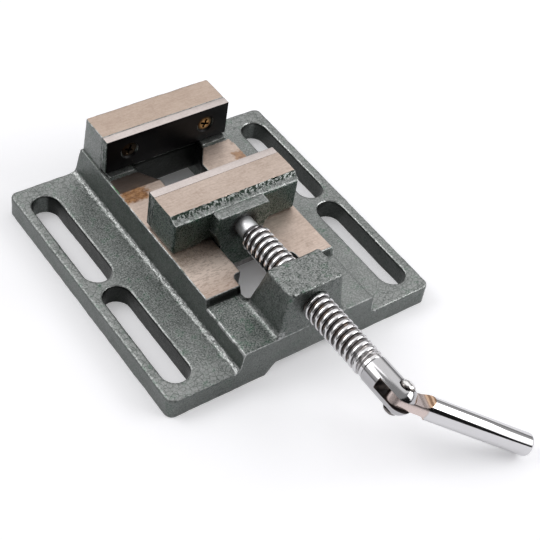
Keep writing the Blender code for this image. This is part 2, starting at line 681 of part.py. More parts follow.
def split_ring(outer, inner, slit, steps=20):
    """Outline of a ring with a slit on its -Y side, as (x, y) points."""
    start = -math.pi / 2 + slit / outer / 2
    sweep = 2 * math.pi - slit / outer
    angles = [start + sweep * i / steps for i in range(steps + 1)]
    outside = [(outer * math.cos(a), outer * math.sin(a)) for a in angles]
    inside = [(inner * math.cos(a), inner * math.sin(a)) for a in reversed(angles)]
    return outside + inside


def keeper_washer(name, material):
    """Split spring washer, with its own centre as origin."""
    outline = split_ring(WASHER_RADIUS, KEEPER_SCREW_RADIUS + BORE_GAP, WASHER_SLIT)
    bm = prism_z(outline, WASHER_BOTTOM, WASHER_BOTTOM + WASHER_THICKNESS)
    return make_object(name, bm, material)


def keeper_screw(name, material):
    """Cheese head screw with a hexagon socket, pointing up."""
    low = WASHER_BOTTOM - TOUCH_GAP - KEEPER_HEAD_HEIGHT
    head_top = low + KEEPER_HEAD_HEIGHT
    end = WAY_UNDERSIDE + KEEPER_SCREW_GRIP
    head = KEEPER_HEAD_RADIUS
    shank = KEEPER_SCREW_RADIUS
    profile = [(0, low), (head * 0.8, low), (head, low + head * 0.2), (head, head_top), (shank, head_top),
               (shank, end - shank / 4), (shank * 0.75, end), (0, end)]
    screw = make_object(name, standing(lathe(profile, 24), 0, 0))
    socket = cylinder(KEEPER_SOCKET_RADIUS, low - CAST_ROUND, low + KEEPER_SOCKET_DEPTH, 6)
    cut(screw, standing(socket, 0, 0))
    return finish(screw, material)


def retaining_pin(name, material):
    """Slit spring pin that stands in the groove of the screw's nose, trapped by the keeper plate."""
    outline = split_ring(PIN_RADIUS, PIN_BORE, PIN_SLIT, 16)
    return make_object(name, prism_z(outline, WAY_UNDERSIDE, PIN_TOP), material)


def lead_screw(material):
    """Screw with a grooved nose, a trapezoidal thread and a clevis for the handle."""
    nose = MOVING_BOSS_FACE + NOSE_LENGTH
    groove = (GROOVE_Y - GROOVE_WIDTH / 2, GROOVE_Y + GROOVE_WIDTH / 2)
    inside_thread = THREAD_PITCH
    front = [(0, NECK_END - inside_thread), (NECK_RADIUS, NECK_END - inside_thread),
             (NECK_RADIUS, groove[0]), (GROOVE_RADIUS, groove[0]), (GROOVE_RADIUS, groove[1]),
             (NECK_RADIUS, groove[1]), (NECK_RADIUS, nose - NOSE_CHAMFER),
             (NECK_RADIUS - NOSE_CHAMFER, nose), (0, nose)]
    rear = [(0, SCREW_END), (CLEVIS_RADIUS - CLEVIS_CHAMFER, SCREW_END),
            (CLEVIS_RADIUS, SCREW_END + CLEVIS_CHAMFER), (CLEVIS_RADIUS, CLEVIS_START),
            (RUNOUT_RADIUS, CLEVIS_START), (RUNOUT_RADIUS, THREAD_END + inside_thread),
            (0, THREAD_END + inside_thread)]
    screw = make_object("lead_screw", thread_solid(THREAD_END, NECK_END))
    add(screw, lathe(front, 32))
    add(screw, lathe(rear, 40))
    half = CLEVIS_SLOT_WIDTH / 2
    reach = CLEVIS_RADIUS + CAST_ROUND
    slot = box((-half, half), (SCREW_END - CAST_ROUND, RIVET_Y + CLEVIS_SLOT_REACH), (-reach, reach))
    cut(screw, moved(slot, Matrix.Rotation(-RIVET_ROLL, 4, "Y")))
    hole = across(cylinder(RIVET_RADIUS + BORE_GAP, -reach, reach, 20))
    cut(screw, moved(hole, Matrix.Rotation(-RIVET_ROLL, 4, "Y") @ Matrix.Translation((0, RIVET_Y, 0))))
    for span in ((SPOT_FACE, reach), (-reach, -SPOT_FACE)):
        seat = across(cylinder(RIVET_HEAD_RADIUS + BORE_GAP, *span, 24))
        cut(screw, moved(seat, Matrix.Rotation(-RIVET_ROLL, 4, "Y") @ Matrix.Translation((0, RIVET_Y, 0))))
    return finish(screw, material)


def across(bm):
    """Lays a lathed piece along X: its +Y becomes +X."""
    return moved(bm, Matrix.Rotation(-math.pi / 2, 4, "Z"))


def hinge_rivet(material):
    """Rivet along its own X axis, with a domed head at each end."""
    seat = SPOT_FACE + TOUCH_GAP
    dome = [(RIVET_HEAD_RADIUS * math.cos(a), RIVET_HEAD_HEIGHT * math.sin(a))
            for a in [math.pi / 2 * i / 5 for i in range(6)]]
    upper = [(max(radius, 0.0), seat + rise) for radius, rise in dome]
    upper[-1] = (0, seat + RIVET_HEAD_HEIGHT)
    lower = [(radius, -y) for radius, y in reversed(upper)]
    profile = lower + [(RIVET_RADIUS, -seat), (RIVET_RADIUS, seat)] + upper
    return make_object("hinge_rivet", across(lathe(profile, 24)), material)


def handle_lever(material):
    """Round bar along -Y from the rivet, milled to a tang that turns in the clevis."""
    end = -HANDLE_LENGTH
    radius = HANDLE_RADIUS
    profile = [(0, radius), (radius, radius), (radius, end + HANDLE_END_ROUND)]
    for sine, inset in quarter_arc(3)[1:]:
        profile.append((radius - HANDLE_END_ROUND * inset, end + HANDLE_END_ROUND * (1 - sine)))
    profile.append((0, end))
    handle = make_object("handle_lever", lathe(profile, 32))

    half = TANG_THICKNESS / 2
    far = radius + CAST_ROUND
    centre_x = half + SHOULDER_RADIUS
    stop = math.acos(max(-1.0, (far - centre_x) / SHOULDER_RADIUS))
    shoulder = []
    for i in range(9):
        angle = math.pi + (math.pi - stop) * i / 8
        shoulder.append((centre_x + SHOULDER_RADIUS * math.cos(angle),
                         -TANG_LENGTH + SHOULDER_RADIUS * math.sin(angle)))
    outline = [(far, far), (half, far)] + shoulder
    for side in (-1, 1):
        cut(handle, prism_z([(side * x, y) for x, y in outline], -far, far))

    nose = [(0, -far), (far, -far), (far, far), (0, far)]
    arc = [math.pi / 2 - math.pi * i / 16 for i in range(17)]
    nose += [(radius * math.cos(a), radius * math.sin(a)) for a in arc]
    cut(handle, prism_x(nose, 4 * radius))
    cut(handle, across(cylinder(RIVET_RADIUS + BORE_GAP, -far, far, 20)))
    return finish(handle, material)


def handle_fold():
    """Angle from straight to where the bar's tip rests on the table."""
    drop = SCREW_HEIGHT - TIP_GAP
    lean = math.asin(min(0.95, drop / math.hypot(HANDLE_LENGTH, HANDLE_RADIUS)))
    lean -= math.atan2(HANDLE_RADIUS, HANDLE_LENGTH)
    return math.asin(min(0.98, math.sin(lean) / math.cos(RIVET_ROLL)))


def make_empty(name, parent=None, location=(0, 0, 0), rotation=None):
    empty = bpy.data.objects.new(name, None)
    empty.empty_display_size = 0.01
    empty.location = location
    empty.parent = parent
    if rotation is not None:
        empty.rotation_euler = rotation.to_euler()
    bpy.context.collection.objects.link(empty)
    return empty


def put(obj, parent, location=(0, 0, 0), turn=0.0):
    """Parents a piece made around its own origin, turned about Z."""
    obj.parent = parent
    obj.location = location
    obj.rotation_euler = (0, 0, turn)


def carry(obj, parent, parent_place):
    """Parents a piece made in base coordinates under an empty that stands at parent_place."""
    obj.parent = parent
    obj.location = obj.location - Vector(parent_place)


def centre_on_origin(root):
    """Moves the vise so that its bounding box is centred over the origin."""
    bpy.context.view_layer.update()
    values = [[], []]
    for obj in bpy.data.objects:
        if obj.type == "MESH":
            for vert in obj.data.vertices:
                place = obj.matrix_world @ vert.co
                values[0].append(place.x)
                values[1].append(place.y)
    root.location.x -= (min(values[0]) + max(values[0])) / 2
    root.location.y -= (min(values[1]) + max(values[1])) / 2
    bpy.context.view_layer.update()


def build():
    clear_scene()
    enamel = make_material("hammer_enamel", (0.16, 0.20, 0.18), 0.42, 0.0)
    jaw_enamel = make_material("jaw_enamel", (0.15, 0.19, 0.17), 0.42, 0.0)
    ground_steel = make_material("ground_steel", (0.55, 0.47, 0.41), 0.45, 0.9)
    black_steel = make_material("black_steel", (0.03, 0.03, 0.03), 0.5, 0.8)
    yellow_zinc = make_material("yellow_zinc", (0.75, 0.50, 0.22), 0.3, 1.0)
    keeper_steel = make_material("keeper_steel", (0.35, 0.35, 0.36), 0.5, 0.9)
    bright_steel = make_material("bright_steel", (0.78, 0.78, 0.80), 0.15, 1.0)
    chrome = make_material("chrome", (0.85, 0.85, 0.87), 0.08, 1.0)
    rivet_steel = make_material("rivet_steel", (0.80, 0.80, 0.82), 0.2, 1.0)

    root = make_empty("vise_origin")
    slide_place = (0, MOVING_SEAT, WAY_HEIGHT)
    slide = make_empty("jaw_slide_axis", root, slide_place)
    screw_place = (0, MOVING_BOSS_FACE, SCREW_HEIGHT)
    screw_axis = make_empty("screw_axis", slide, Vector(screw_place) - Vector(slide_place))
    roll = Matrix.Rotation(-RIVET_ROLL, 4, "Y")
    rivet_axis = make_empty("rivet_axis", screw_axis, (0, RIVET_Y - MOVING_BOSS_FACE, 0), roll)
    fold = make_empty("handle_axis", rivet_axis, (0, 0, 0), Matrix.Rotation(handle_fold(), 4, "X"))

    base_casting(enamel).parent = root
    plate_screw_x = PLATE_SCREW_SPACING / 2
    for name, side in (("left", -1), ("right", 1)):
        screw = plate_screw("fixed_plate_screw_" + name, yellow_zinc)
        put(screw, root, (side * plate_screw_x, FIXED_FACE, FIXED_JAW_HEIGHT - PLATE_SCREW_DROP))
        screw = plate_screw("moving_plate_screw_" + name, yellow_zinc)
        put(screw, slide, (side * plate_screw_x, MOVING_FACE - slide_place[1],
                           MOVING_JAW_HEIGHT - PLATE_SCREW_DROP - slide_place[2]), math.pi)
        washer = keeper_washer("keeper_washer_" + name, keeper_steel)
        bolt = keeper_screw("keeper_screw_" + name, keeper_steel)
        for piece in (washer, bolt):
            put(piece, slide, (side * KEEPER_SCREW_SPACING / 2, KEEPER_SCREW_Y - slide_place[1],
                               -slide_place[2]))
    for name, x in zip(("left", "right"), pin_places()):
        pin = retaining_pin("retaining_pin_" + name, keeper_steel)
        put(pin, slide, (x, GROOVE_Y - slide_place[1], -slide_place[2]))

    put(jaw_plate("fixed_jaw_plate", FIXED_JAW_HEIGHT, black_steel), root, (0, FIXED_FACE, 0))
    put(jaw_plate("moving_jaw_plate", MOVING_JAW_HEIGHT, ground_steel), slide,
        (0, MOVING_FACE - slide_place[1], -slide_place[2]), math.pi)
    carry(moving_jaw_casting(jaw_enamel), slide, slide_place)
    carry(keeper_plate(keeper_steel), slide, slide_place)
    put(lead_screw(bright_steel), screw_axis, (0, -MOVING_BOSS_FACE, 0))
    hinge_rivet(rivet_steel).parent = rivet_axis
    handle_lever(chrome).parent = fold
    centre_on_origin(root)


build()
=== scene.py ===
import json
import math

import bmesh
import bpy
from mathutils import Matrix, Vector, geometry, kdtree, noise


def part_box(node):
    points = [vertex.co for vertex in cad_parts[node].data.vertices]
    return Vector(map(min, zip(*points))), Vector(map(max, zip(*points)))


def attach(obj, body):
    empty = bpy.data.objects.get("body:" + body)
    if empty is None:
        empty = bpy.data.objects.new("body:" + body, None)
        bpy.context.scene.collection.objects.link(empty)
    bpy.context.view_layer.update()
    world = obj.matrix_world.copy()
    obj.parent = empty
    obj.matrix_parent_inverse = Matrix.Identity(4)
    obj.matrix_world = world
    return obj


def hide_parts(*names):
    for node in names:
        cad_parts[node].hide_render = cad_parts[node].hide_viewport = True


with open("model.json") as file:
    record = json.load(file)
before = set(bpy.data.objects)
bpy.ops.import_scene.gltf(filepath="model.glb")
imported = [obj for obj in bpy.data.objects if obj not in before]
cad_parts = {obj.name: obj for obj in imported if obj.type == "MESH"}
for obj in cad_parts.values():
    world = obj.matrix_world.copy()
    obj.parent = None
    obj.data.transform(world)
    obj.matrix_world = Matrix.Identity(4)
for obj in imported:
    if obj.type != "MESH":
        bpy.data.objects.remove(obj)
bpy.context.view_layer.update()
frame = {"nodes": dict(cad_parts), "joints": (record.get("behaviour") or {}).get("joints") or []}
nodes = frame["nodes"]
joints = {joint["name"]: joint for joint in frame["joints"]}
baseLow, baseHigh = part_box("base_casting")
middle = Vector(((baseLow.x + baseHigh.x) / 2, (baseLow.y + baseHigh.y) / 2, 0))  # middle of the base plate
print("frame loaded:", len(nodes), "nodes")


# camera, light and floor

camera = {"lens": 88.17, "place": (-0.26164, -0.31991, 0.41865), "turns": (-42.71, 44.37, 10.58)}
light = {
    "dome": 0.46,  # even light on everything
    "zenith": {"low": 32, "high": 72, "gain": 0.75},  # stronger from straight above
    "right": {"azimuth": -36, "height": 31, "distance": 1.1, "size": (0.82, 0.48), "radiance": 3.8},
    "back": {"azimuth": 141, "height": 47, "distance": 1.0, "size": (0.58, 0.58), "radiance": 2.5},
    "room": 0.40,  # what bright metal sees around it
    "window": {"from": -14, "to": 112, "low": 22, "high": 84, "soft": 7, "level": 1.22},  # its bright side
    "strip": {"from": -60, "to": -16, "low": 9, "high": 42, "soft": 1.5, "level": 1.9},
    "beside": {"from": 104, "to": 130, "low": 44, "high": 78, "soft": 4, "level": 2.5},  # by the back lamp
    "leftWall": {"from": 134, "to": 176, "low": 12, "high": 40, "soft": 4, "level": 0.60},
    "horizon": {"low": -3, "high": 6, "soft": 2.0, "level": 0.20},
    "darkSide": {"from": -168, "to": -58, "low": -6, "high": 44, "soft": 1.2, "level": 0.012},
}


def meshOf(name, bm):
    mesh = bpy.data.meshes.new(name)
    bm.to_mesh(mesh)
    bm.free()
    return mesh


def linked(name, data):
    obj = bpy.data.objects.new(name, data)
    bpy.context.collection.objects.link(obj)
    return obj


def placeCamera():
    data = bpy.data.cameras.new("photoCamera")
    data.lens = camera["lens"]
    data.sensor_width = 36
    obj = linked("photoCamera", data)
    first, tilt, roll = (math.radians(turn) for turn in camera["turns"])
    turn = Matrix.Rotation(first, 4, "Z") @ Matrix.Rotation(tilt, 4, "X") @ Matrix.Rotation(roll, 4, "Z")
    obj.matrix_world = Matrix.Translation(middle + Vector(camera["place"])) @ turn
    bpy.context.scene.camera = obj


def placeLamp(name, lamp):
    data = bpy.data.lights.new(name, "AREA")
    data.shape = "RECTANGLE"
    data.size, data.size_y = lamp["size"]
    data.energy = lamp["radiance"] * math.pi * data.size * data.size_y
    azimuth, height = math.radians(lamp["azimuth"]), math.radians(lamp["height"])
    away = Vector((math.cos(azimuth) * math.cos(height), math.sin(azimuth) * math.cos(height),
                   math.sin(height)))
    obj = linked(name, data)
    obj.location = middle + away * lamp["distance"]
    obj.rotation_euler = away.to_track_quat("Z", "Y").to_euler()


# shader nodes

class Wire:
    # a socket that can stand in a sum
    def __init__(self, socket):
        self.socket = socket

    def math(self, operation, *others):
        values = dict(enumerate((self, *others)))
        return Wire.node(self.socket.id_data, "ShaderNodeMath", {"operation": operation}, values)

    def __add__(self, other):
        return self.math("ADD", other)

    def __sub__(self, other):
        return self.math("SUBTRACT", other)

    def __rsub__(self, other):
        return (self * -1.0).math("ADD", other)

    def __mul__(self, other):
        return self.math("MULTIPLY", other)

    def __abs__(self):
        return self.math("ABSOLUTE")

    __radd__ = __add__
    __rmul__ = __mul__

    def step(self, low, high):
        # 0 below low, 1 above high, smooth between; low may be the larger one
        settings = {"interpolation_type": "SMOOTHSTEP"}
        if low > high:
            return 1.0 - self.step(high, low)
        return Wire.node(self.socket.id_data, "ShaderNodeMapRange", settings,
                         {"Value": self, "From Min": low, "From Max": high})

    def band(self, low, full, fade, end):
        # rises from low to full and falls from fade to end
        return self.step(low, full) * self.step(end, fade)

    @staticmethod
    def node(tree, kind, settings=None, values=None, out=0):
        node = tree.nodes.new(kind)
        for name, value in (settings or {}).items():
            if name == "stops":
                ramp = node.color_ramp
                while len(ramp.elements) < len(value):
                    ramp.elements.new(0.5)
                for element, (place, color) in zip(ramp.elements, value):
                    element.position = place
                    element.color = (*color, 1.0)
            else:
                setattr(node, name, value)
        for name, value in (values or {}).items():
            Wire.feed(tree, node.inputs[name], value)
        return Wire(node.outputs[out])

    @staticmethod
    def feed(tree, socket, value):
        if isinstance(value, Wire):
            tree.links.new(value.socket, socket)
        else:
            socket.default_value = (*value, 1.0) if socket.type == "RGBA" else value


class Finish:
    # one material, with the place on the piece in millimetres as a start
    def __init__(self, name):
        self.material = bpy.data.materials.new(name)
        self.material.use_nodes = True
        self.tree = self.material.node_tree
        self.shader = self.tree.nodes["Principled BSDF"]
        place = self.node("ShaderNodeTexCoord", out="Object")
        self.mm = self.scaled(place, 1000.0)
        self.x, self.y, self.z = self.split(self.mm)
        self.y = self.y - middle.y * 1000.0  # y counts from the middle of the base plate

    def node(self, kind, settings=None, values=None, out=0):
        return Wire.node(self.tree, kind, settings, values, out)

    def split(self, vector):
        first = self.node("ShaderNodeSeparateXYZ", None, {0: vector}, "X")
        node = first.socket.node
        return first, Wire(node.outputs["Y"]), Wire(node.outputs["Z"])

    def vector(self, operation, first, second, out=0):
        return self.node("ShaderNodeVectorMath", {"operation": operation}, {0: first, 1: second}, out)

    def scaled(self, vector, scale):
        if isinstance(scale, (int, float)):
            scale = (scale, scale, scale)
        return self.vector("MULTIPLY", vector, scale)

    def noise(self, size, detail=2.0, rough=0.5, at=None, stretch=None):
        # size is the width of one blotch in millimetres
        vector = at or self.mm
        if stretch:
            vector = self.scaled(vector, stretch)
        return self.node("ShaderNodeTexNoise", None, {
            "Vector": vector, "Scale": 1.0 / size, "Detail": detail, "Roughness": rough})

    def wavy(self, size, reach, at=None):
        # the place, pushed about by a noise
        vector = at or self.mm
        color = self.node("ShaderNodeTexNoise", None, {"Vector": vector, "Scale": 1.0 / size, "Detail": 2.0}, 1)
        push = self.vector("SUBTRACT", color, (0.5, 0.5, 0.5))
        return self.vector("ADD", vector, self.scaled(push, 2.0 * reach))

    def cells(self, size, at):
        # the distance to the nearest edge of a cell
        return self.node("ShaderNodeTexVoronoi", {"feature": "DISTANCE_TO_EDGE"},
                         {"Vector": at, "Scale": 1.0 / size})

    def blend(self, factor, first, second):
        return self.node("ShaderNodeMix", {"data_type": "RGBA"}, {0: factor, 6: first, 7: second}, 2)

    def along(self, direction, start):
        # millimetres from start along a direction
        offset = self.vector("SUBTRACT", self.mm, tuple(start * 1000))
        return self.vector("DOT_PRODUCT", offset, tuple(direction), "Value")

    def facing(self):
        return self.split(self.node("ShaderNodeNewGeometry", out="Normal"))

    def set(self, **values):
        for name, value in values.items():
            Wire.feed(self.tree, self.shader.inputs[name.replace("_", " ")], value)
        return self.material

    def metal(self, color, metallic, rough, height, reach, **values):
        # reach is the height of a full step of the bump, in millimetres
        normal = self.node("ShaderNodeBump", None, {"Height": height, "Distance": reach / 1000.0, "Strength": 1.0})
        return self.set(Base_Color=color, Metallic=metallic, Roughness=rough, Normal=normal, **values)


def lightPath(tree):
    # is this ray the camera's, and does it come from a mirror or through glass
    camera = Wire.node(tree, "ShaderNodeLightPath", out="Is Camera Ray")
    glossy, through = (Wire(camera.socket.node.outputs[name]) for name in ("Is Glossy Ray", "Is Transmission Ray"))
    return camera, glossy.math("MAXIMUM", through)


def paneMask(azimuth, height, pane, topSoft=1):
    # 1 inside a pane of the sky, in degrees, with soft edges
    soft = pane["soft"]
    return azimuth.band(pane["from"] - soft, pane["from"] + soft, pane["to"] - soft, pane["to"] + soft) \
        * height.band(pane["low"] - soft, pane["low"] + soft,
                      pane["high"] - topSoft * soft, pane["high"] + topSoft * soft)


def makeWorld():
    world = bpy.data.worlds.new("studio")
    world.use_nodes = True
    bpy.context.scene.world = world
    tree = world.node_tree
    direction = Wire.node(tree, "ShaderNodeTexCoord", out="Generated")
    east = Wire.node(tree, "ShaderNodeSeparateXYZ", None, {0: direction}, "X")
    north, up = (Wire(east.socket.node.outputs[name]) for name in ("Y", "Z"))
    azimuth = north.math("ARCTAN2", east) * math.degrees(1)
    height = up.math("ARCSINE") * math.degrees(1)
    line, above, dark = light["horizon"], light["zenith"], light["darkSide"]
    mask = paneMask(azimuth, height, dark, topSoft=4)
    rim = height.band(line["low"] - line["soft"], line["low"] + line["soft"],
                      line["high"] - line["soft"], line["high"] + line["soft"])
    seen = light["room"] * (1.0 - rim) + line["level"] * rim
    for name in ("window", "strip", "beside", "leftWall"):
        bright = paneMask(azimuth, height, light[name])
        seen = seen * (1.0 - bright) + light[name]["level"] * bright
    seen = seen * (1.0 - mask) + dark["level"] * mask
    even = light["dome"] * (1.0 - mask) + dark["level"] * mask
    even = even * (1.0 + height.step(above["low"], above["high"]) * above["gain"])
    camera, shiny = lightPath(tree)
    strength = (even * (1.0 - shiny) + seen * shiny) * (1.0 - camera) + camera
    background = tree.nodes["Background"]
    tree.links.new(strength.socket, background.inputs["Strength"])
    background.inputs["Color"].default_value = (1, 1, 1, 1)


floorSizes = {
    "half": 4.0, "drop": 0.0002, "color": (0.93, 0.927, 0.955),
    "glow": 0.23, "mirrored": 0.15,  # light of its own, for the camera and for bright metal
    "far": (450, 1500), "farGlow": 0.45,  # far out it stays as white as the background
    "underX": (40, 44), "underY": (58, 62),  # the floor under the base, which shows through the openings; less glow there is painted shade
    "underFrom": (-39, -12), "underShade": 0.68,
}


def makeFloor():
    sizes = floorSizes
    bm = bmesh.new()
    bmesh.ops.create_grid(bm, x_segments=1, y_segments=1, size=sizes["half"])
    bmesh.ops.translate(bm, verts=bm.verts, vec=(0, 0, -sizes["drop"]))
    mesh = meshOf("paperFloor", bm)
    paper = Finish("whitePaper")
    x, y = abs(paper.x), abs(paper.y)
    far = (paper.x * paper.x + paper.y * paper.y).math("SQRT").step(*sizes["far"])
    # painted shade: the floor under the base glows less, most towards the back
    under = (1.0 - x.step(*sizes["underX"])) * (1.0 - y.step(*sizes["underY"])) * paper.y.step(*sizes["underFrom"])
    camera, shiny = lightPath(paper.tree)
    glow = camera * (sizes["glow"] + far * sizes["farGlow"]) * (1.0 - under * sizes["underShade"]) \
        + shiny * sizes["mirrored"]
    paper.set(Base_Color=sizes["color"], Roughness=1.0, Specular_IOR_Level=0.0,
              Emission_Color=(1, 1, 1), Emission_Strength=glow)
    mesh.materials.append(paper.material)
    linked("paperFloor", mesh)


placeCamera()
placeLamp("rightLight", light["right"])
placeLamp("backLight", light["back"])
makeWorld()
makeFloor()
print("camera, light and floor placed")


# finishes

paint = {
    "cell": 2.3, "line": 0.10, "grain": 0.72,  # width of the hammer cells, their dark lines, the grain
    "pale": (0.322, 0.329, 0.324), "dark": (0.014, 0.030, 0.021), "green": (0.045, 0.120, 0.072),
    "glint": (0.58, 0.59, 0.585), "shadeGreen": (0.007, 0.038, 0.020), "pit": (0.006, 0.018, 0.010),
    "paintedShade": (0.006, 0.007, 0.006),  # painted shade in the slots, the openings and round the screw's hole
    "rim": 60.0,  # the plate's outer rim shows the cells best
}


def hammerEnamel(coat, cells, grainy, drop=0.0):
    # hammer paint with fine metal in it: pale grey where it mirrors the room, dark green where it doesn't
    lines = 1.0 - coat.cells(paint["cell"], coat.wavy(2.4, 0.6)).step(0.01, paint["line"])
    grain = coat.noise(paint["grain"], 3.0, 0.62).step(0.33, 0.67)
    fine = coat.noise(paint["grain"] * 0.42, 2.0, 0.55).step(0.33, 0.67)
    clouds = coat.noise(15.0, 3.0, 0.55)
    patches = coat.noise(4.6, 4.0, 0.62)
    grainy = (0.45 + patches * 1.1) * grainy
    # drop darkens the tone; the castings pass painted shade, and on the base's rim painted light, through it
    tone = 0.68 - drop + (grain - 0.5) * grainy * 0.95 + (fine - 0.5) * grainy * 0.55 - lines * cells * 0.32 \
        + (clouds - 0.5) * 0.40 + (patches - 0.5) * 0.55
    color = coat.blend(tone, paint["dark"], paint["pale"])
    color = coat.blend(patches.step(0.52, 0.68) * (1.2 - tone) * 0.68, color, paint["green"])
    height = grain * grainy * 0.36 + fine * grainy * 0.14 - lines * cells * 0.22
    return color, height, tone


def arrisWearAndGlint(coat, color, rough, strength):
    # thin pale spots along cast edges: wear, and a painted highlight on edges that don't face +X
    away = coat.node("ShaderNodeAttribute", {"attribute_name": "arris"}, out="Fac")
    faceX, faceY, faceZ = coat.facing()
    broken = coat.noise(3.2, 3.0, 0.6).step(0.38, 0.54)
    line = (away + (coat.noise(0.8, 2.0, 0.5) - 0.5) * 0.9).step(0.44, 0.16) * broken * faceX.step(0.45, 0.15)
    line = line * (1.0 - coat.y.step(38.5, 39.5) * coat.z.band(22.4, 23.0, 25.5, 26.5))  # none under the plate, where it lies in shade
    return coat.blend(line * strength, color, paint["glint"]), rough - line * 0.03


def castFinish(name, jaw=False):
    coat = Finish(name)
    faceX, faceY, faceZ = coat.facing()
    flat = faceZ.step(0.55, 0.9)
    steep = 1.0 - abs(faceZ).step(0.35, 0.6)
    drop = 0.0
    if jaw:
        cells, grainy = flat * 0.2, 0.60 + steep * 0.7
        # painted shade: a dark ring round the screw's hole in the boss
        ring = ((coat.x * coat.x + (coat.z - 32.5) * (coat.z - 32.5)).math("SQRT") + (coat.noise(0.9) - 0.5)) \
            .step(8.4, 5.4) * coat.y.step(-13.6, -14.2)
        shade = 1.0 - ring * 0.94
        # painted shade: steep faces darker
        drop = steep * 0.25
    else:
        wide = abs(coat.x)
        rim = wide.math("MAXIMUM", abs(coat.y)).step(paint["rim"] - 7.0, paint["rim"]) * coat.z.step(12.0, 10.5)
        cells = flat * (0.08 + rim * 0.92)
        nearBody = coat.x.band(-53.5, -50.0, -34.5, -33.0) * flat * (1.0 - rim)
        pad = coat.y.step(-37.4, -38.0) * coat.z.band(19.2, 19.7, 20.9, 21.5) * flat * coat.x.step(12.0, 0.0)
        bossTop = coat.y.step(-43.5, -44.5) * coat.z.step(40.6, 41.2)
        boss = coat.y.step(-43.5, -44.5) * coat.z.step(20.8, 21.6)
        grainy = 0.46 + nearBody * 0.24 - rim * flat * 0.10 + bossTop * 0.10 + boss * 0.30 + pad * 0.20
        # painted shade beside the body and on the left pad by the boss, painted light on the outer rim; the boss
        # top's tone varies at random
        drop = nearBody * 0.06 + pad * 0.20 - rim * flat * 0.10 \
            - (coat.noise(2.4, 4.0, 0.65) - 0.5) * bossTop * 1.5
        # painted shade in the slots, the opening and its back, and under the plate's lip; the ways' front ends are
        # darkened too
        slots = wide.band(48.0, 48.9, 63.2, 64.0) * abs(coat.y).step(58.6, 57.6) * steep * coat.z.step(10.0, 9.6)
        well = wide.step(17.6, 17.0) * coat.y.band(-44.6, -43.8, 46.4, 47.0) * coat.z.step(23.7, 23.0)
        deep = well * coat.y.step(20.0, 30.0)
        wayEnd = coat.y.band(-39.5, -39.0, -36.6, -35.8) * coat.z.band(20.3, 20.9, 23.6, 23.9) \
            * steep * wide.step(31.5, 30.5)
        lip = coat.y.step(40.0, 41.0) * wide.step(18.5, 17.5) * coat.z.band(21.8, 22.4, 24.8, 25.2)
        shade = 1.0 - slots * (0.84 - coat.x.step(-9.0, 9.0) * 0.22) - well * 0.45 - deep * 0.40 - wayEnd * 0.6
        shade = shade * (1.0 - lip * 0.85)
        # painted highlight along the fillets at the left foot of the body and of the boss
        left = coat.x * -1.0 + (coat.noise(1.3, 4.0, 0.7) - 0.5) * 2.0
        foot = left.band(33.8, 34.2, 35.2, 36.1) * coat.z.band(9.9, 10.1, 12.2, 12.9)
        bossFoot = left.band(13.2, 13.8, 16.6, 17.4) * coat.z.band(19.6, 20.0, 22.6, 23.4) \
            * coat.y.step(-44.0, -45.0)
        foot = foot.math("MAXIMUM", bossFoot) * coat.noise(0.8, 3.0, 0.65).step(0.40, 0.60)
    color, height, tone = hammerEnamel(coat, cells, grainy, drop)
    # painted shade on steep faces, on the jaw more where they face -Y, on the base less beside the fixed jaw
    if jaw:
        color = coat.blend(steep * (0.45 + faceY.step(-0.4, -0.8) * 0.12), color, paint["shadeGreen"])
    else:
        onJaw = coat.y.step(38.0, 42.0) * coat.z.step(24.0, 26.0)
        color = coat.blend(steep * (0.42 - onJaw * 0.27), color, paint["dark"])
    rough = 0.27 + tone * 0.08
    if jaw:
        # torn strip behind the milled top, with dark pits
        band = coat.y.band(-9.6, -7.4, -5.8, -5.2) * coat.z.step(39.6, 40.4)
        pits = band * (coat.noise(1.2, 3.0, 0.6) + coat.y.step(-8.4, -6.3) * 0.10).step(0.525, 0.59)
        color = coat.blend(pits * 0.93, color, paint["pit"])
        rough = rough + pits * 0.2
    color, rough = arrisWearAndGlint(coat, color, rough, 0.40 if jaw else 0.75)
    if not jaw:
        # painted glints in specks beside the body, and the painted highlight along the feet
        specks = coat.noise(0.6, 2.0, 0.5).step(0.64, 0.72) * nearBody
        color = coat.blend((foot * 0.52).math("MAXIMUM", specks * 0.5), color, paint["glint"])
    # all the painted shade above, in one dark colour
    color = coat.blend(1.0 - shade, color, paint["paintedShade"])
    return coat.metal(color, 0.84, rough, height, 0.20)


def iron(coat, dark, pale, size=0.42):
    # milled metal, warm from age, with faint cutter marks across the jaws
    marks = coat.noise(size, 3.0, 0.6, stretch=(0.12, 1.0, 1.0))
    mottle = coat.noise(1.1, 4.0, 0.65)
    clouds = coat.noise(11.0, 3.0, 0.5)
    tone = marks * 0.4 + mottle * 0.35 + clouds * 0.25
    return coat.blend(tone.step(0.30, 0.70), dark, pale), marks * 0.6 + mottle * 0.4, mottle


wayFinish = {
    "dark": (0.450, 0.350, 0.292), "pale": (0.690, 0.575, 0.505),
    "rust": (26.0, 29.0, 8.0, 5.0),  # middle and reach of the rust on the left way
    "darkPatch": 32.2,  # where the dark patch on the left way by the fixed jaw starts
    "paintFrom": 41.2,  # where the cast ledge under the plate starts
    "rusty": ((0.20, 0.085, 0.030), (0.44, 0.235, 0.105)), "darkened": (0.050, 0.036, 0.030),
    "grime": (0.17, 0.115, 0.085), "jawTop": (0.400, 0.298, 0.228), "brown": (0.30, 0.19, 0.12),
    "scratch": (0.085, 0.050, 0.032), "paintedLight": (0.86, 0.745, 0.67), "streak": (0.235, 0.155, 0.110),
    "frontShade": (0.30, 0.215, 0.165), "chipped": (0.13, 0.24, 0.17), "fresh": (0.14, 0.36, 0.17),
}


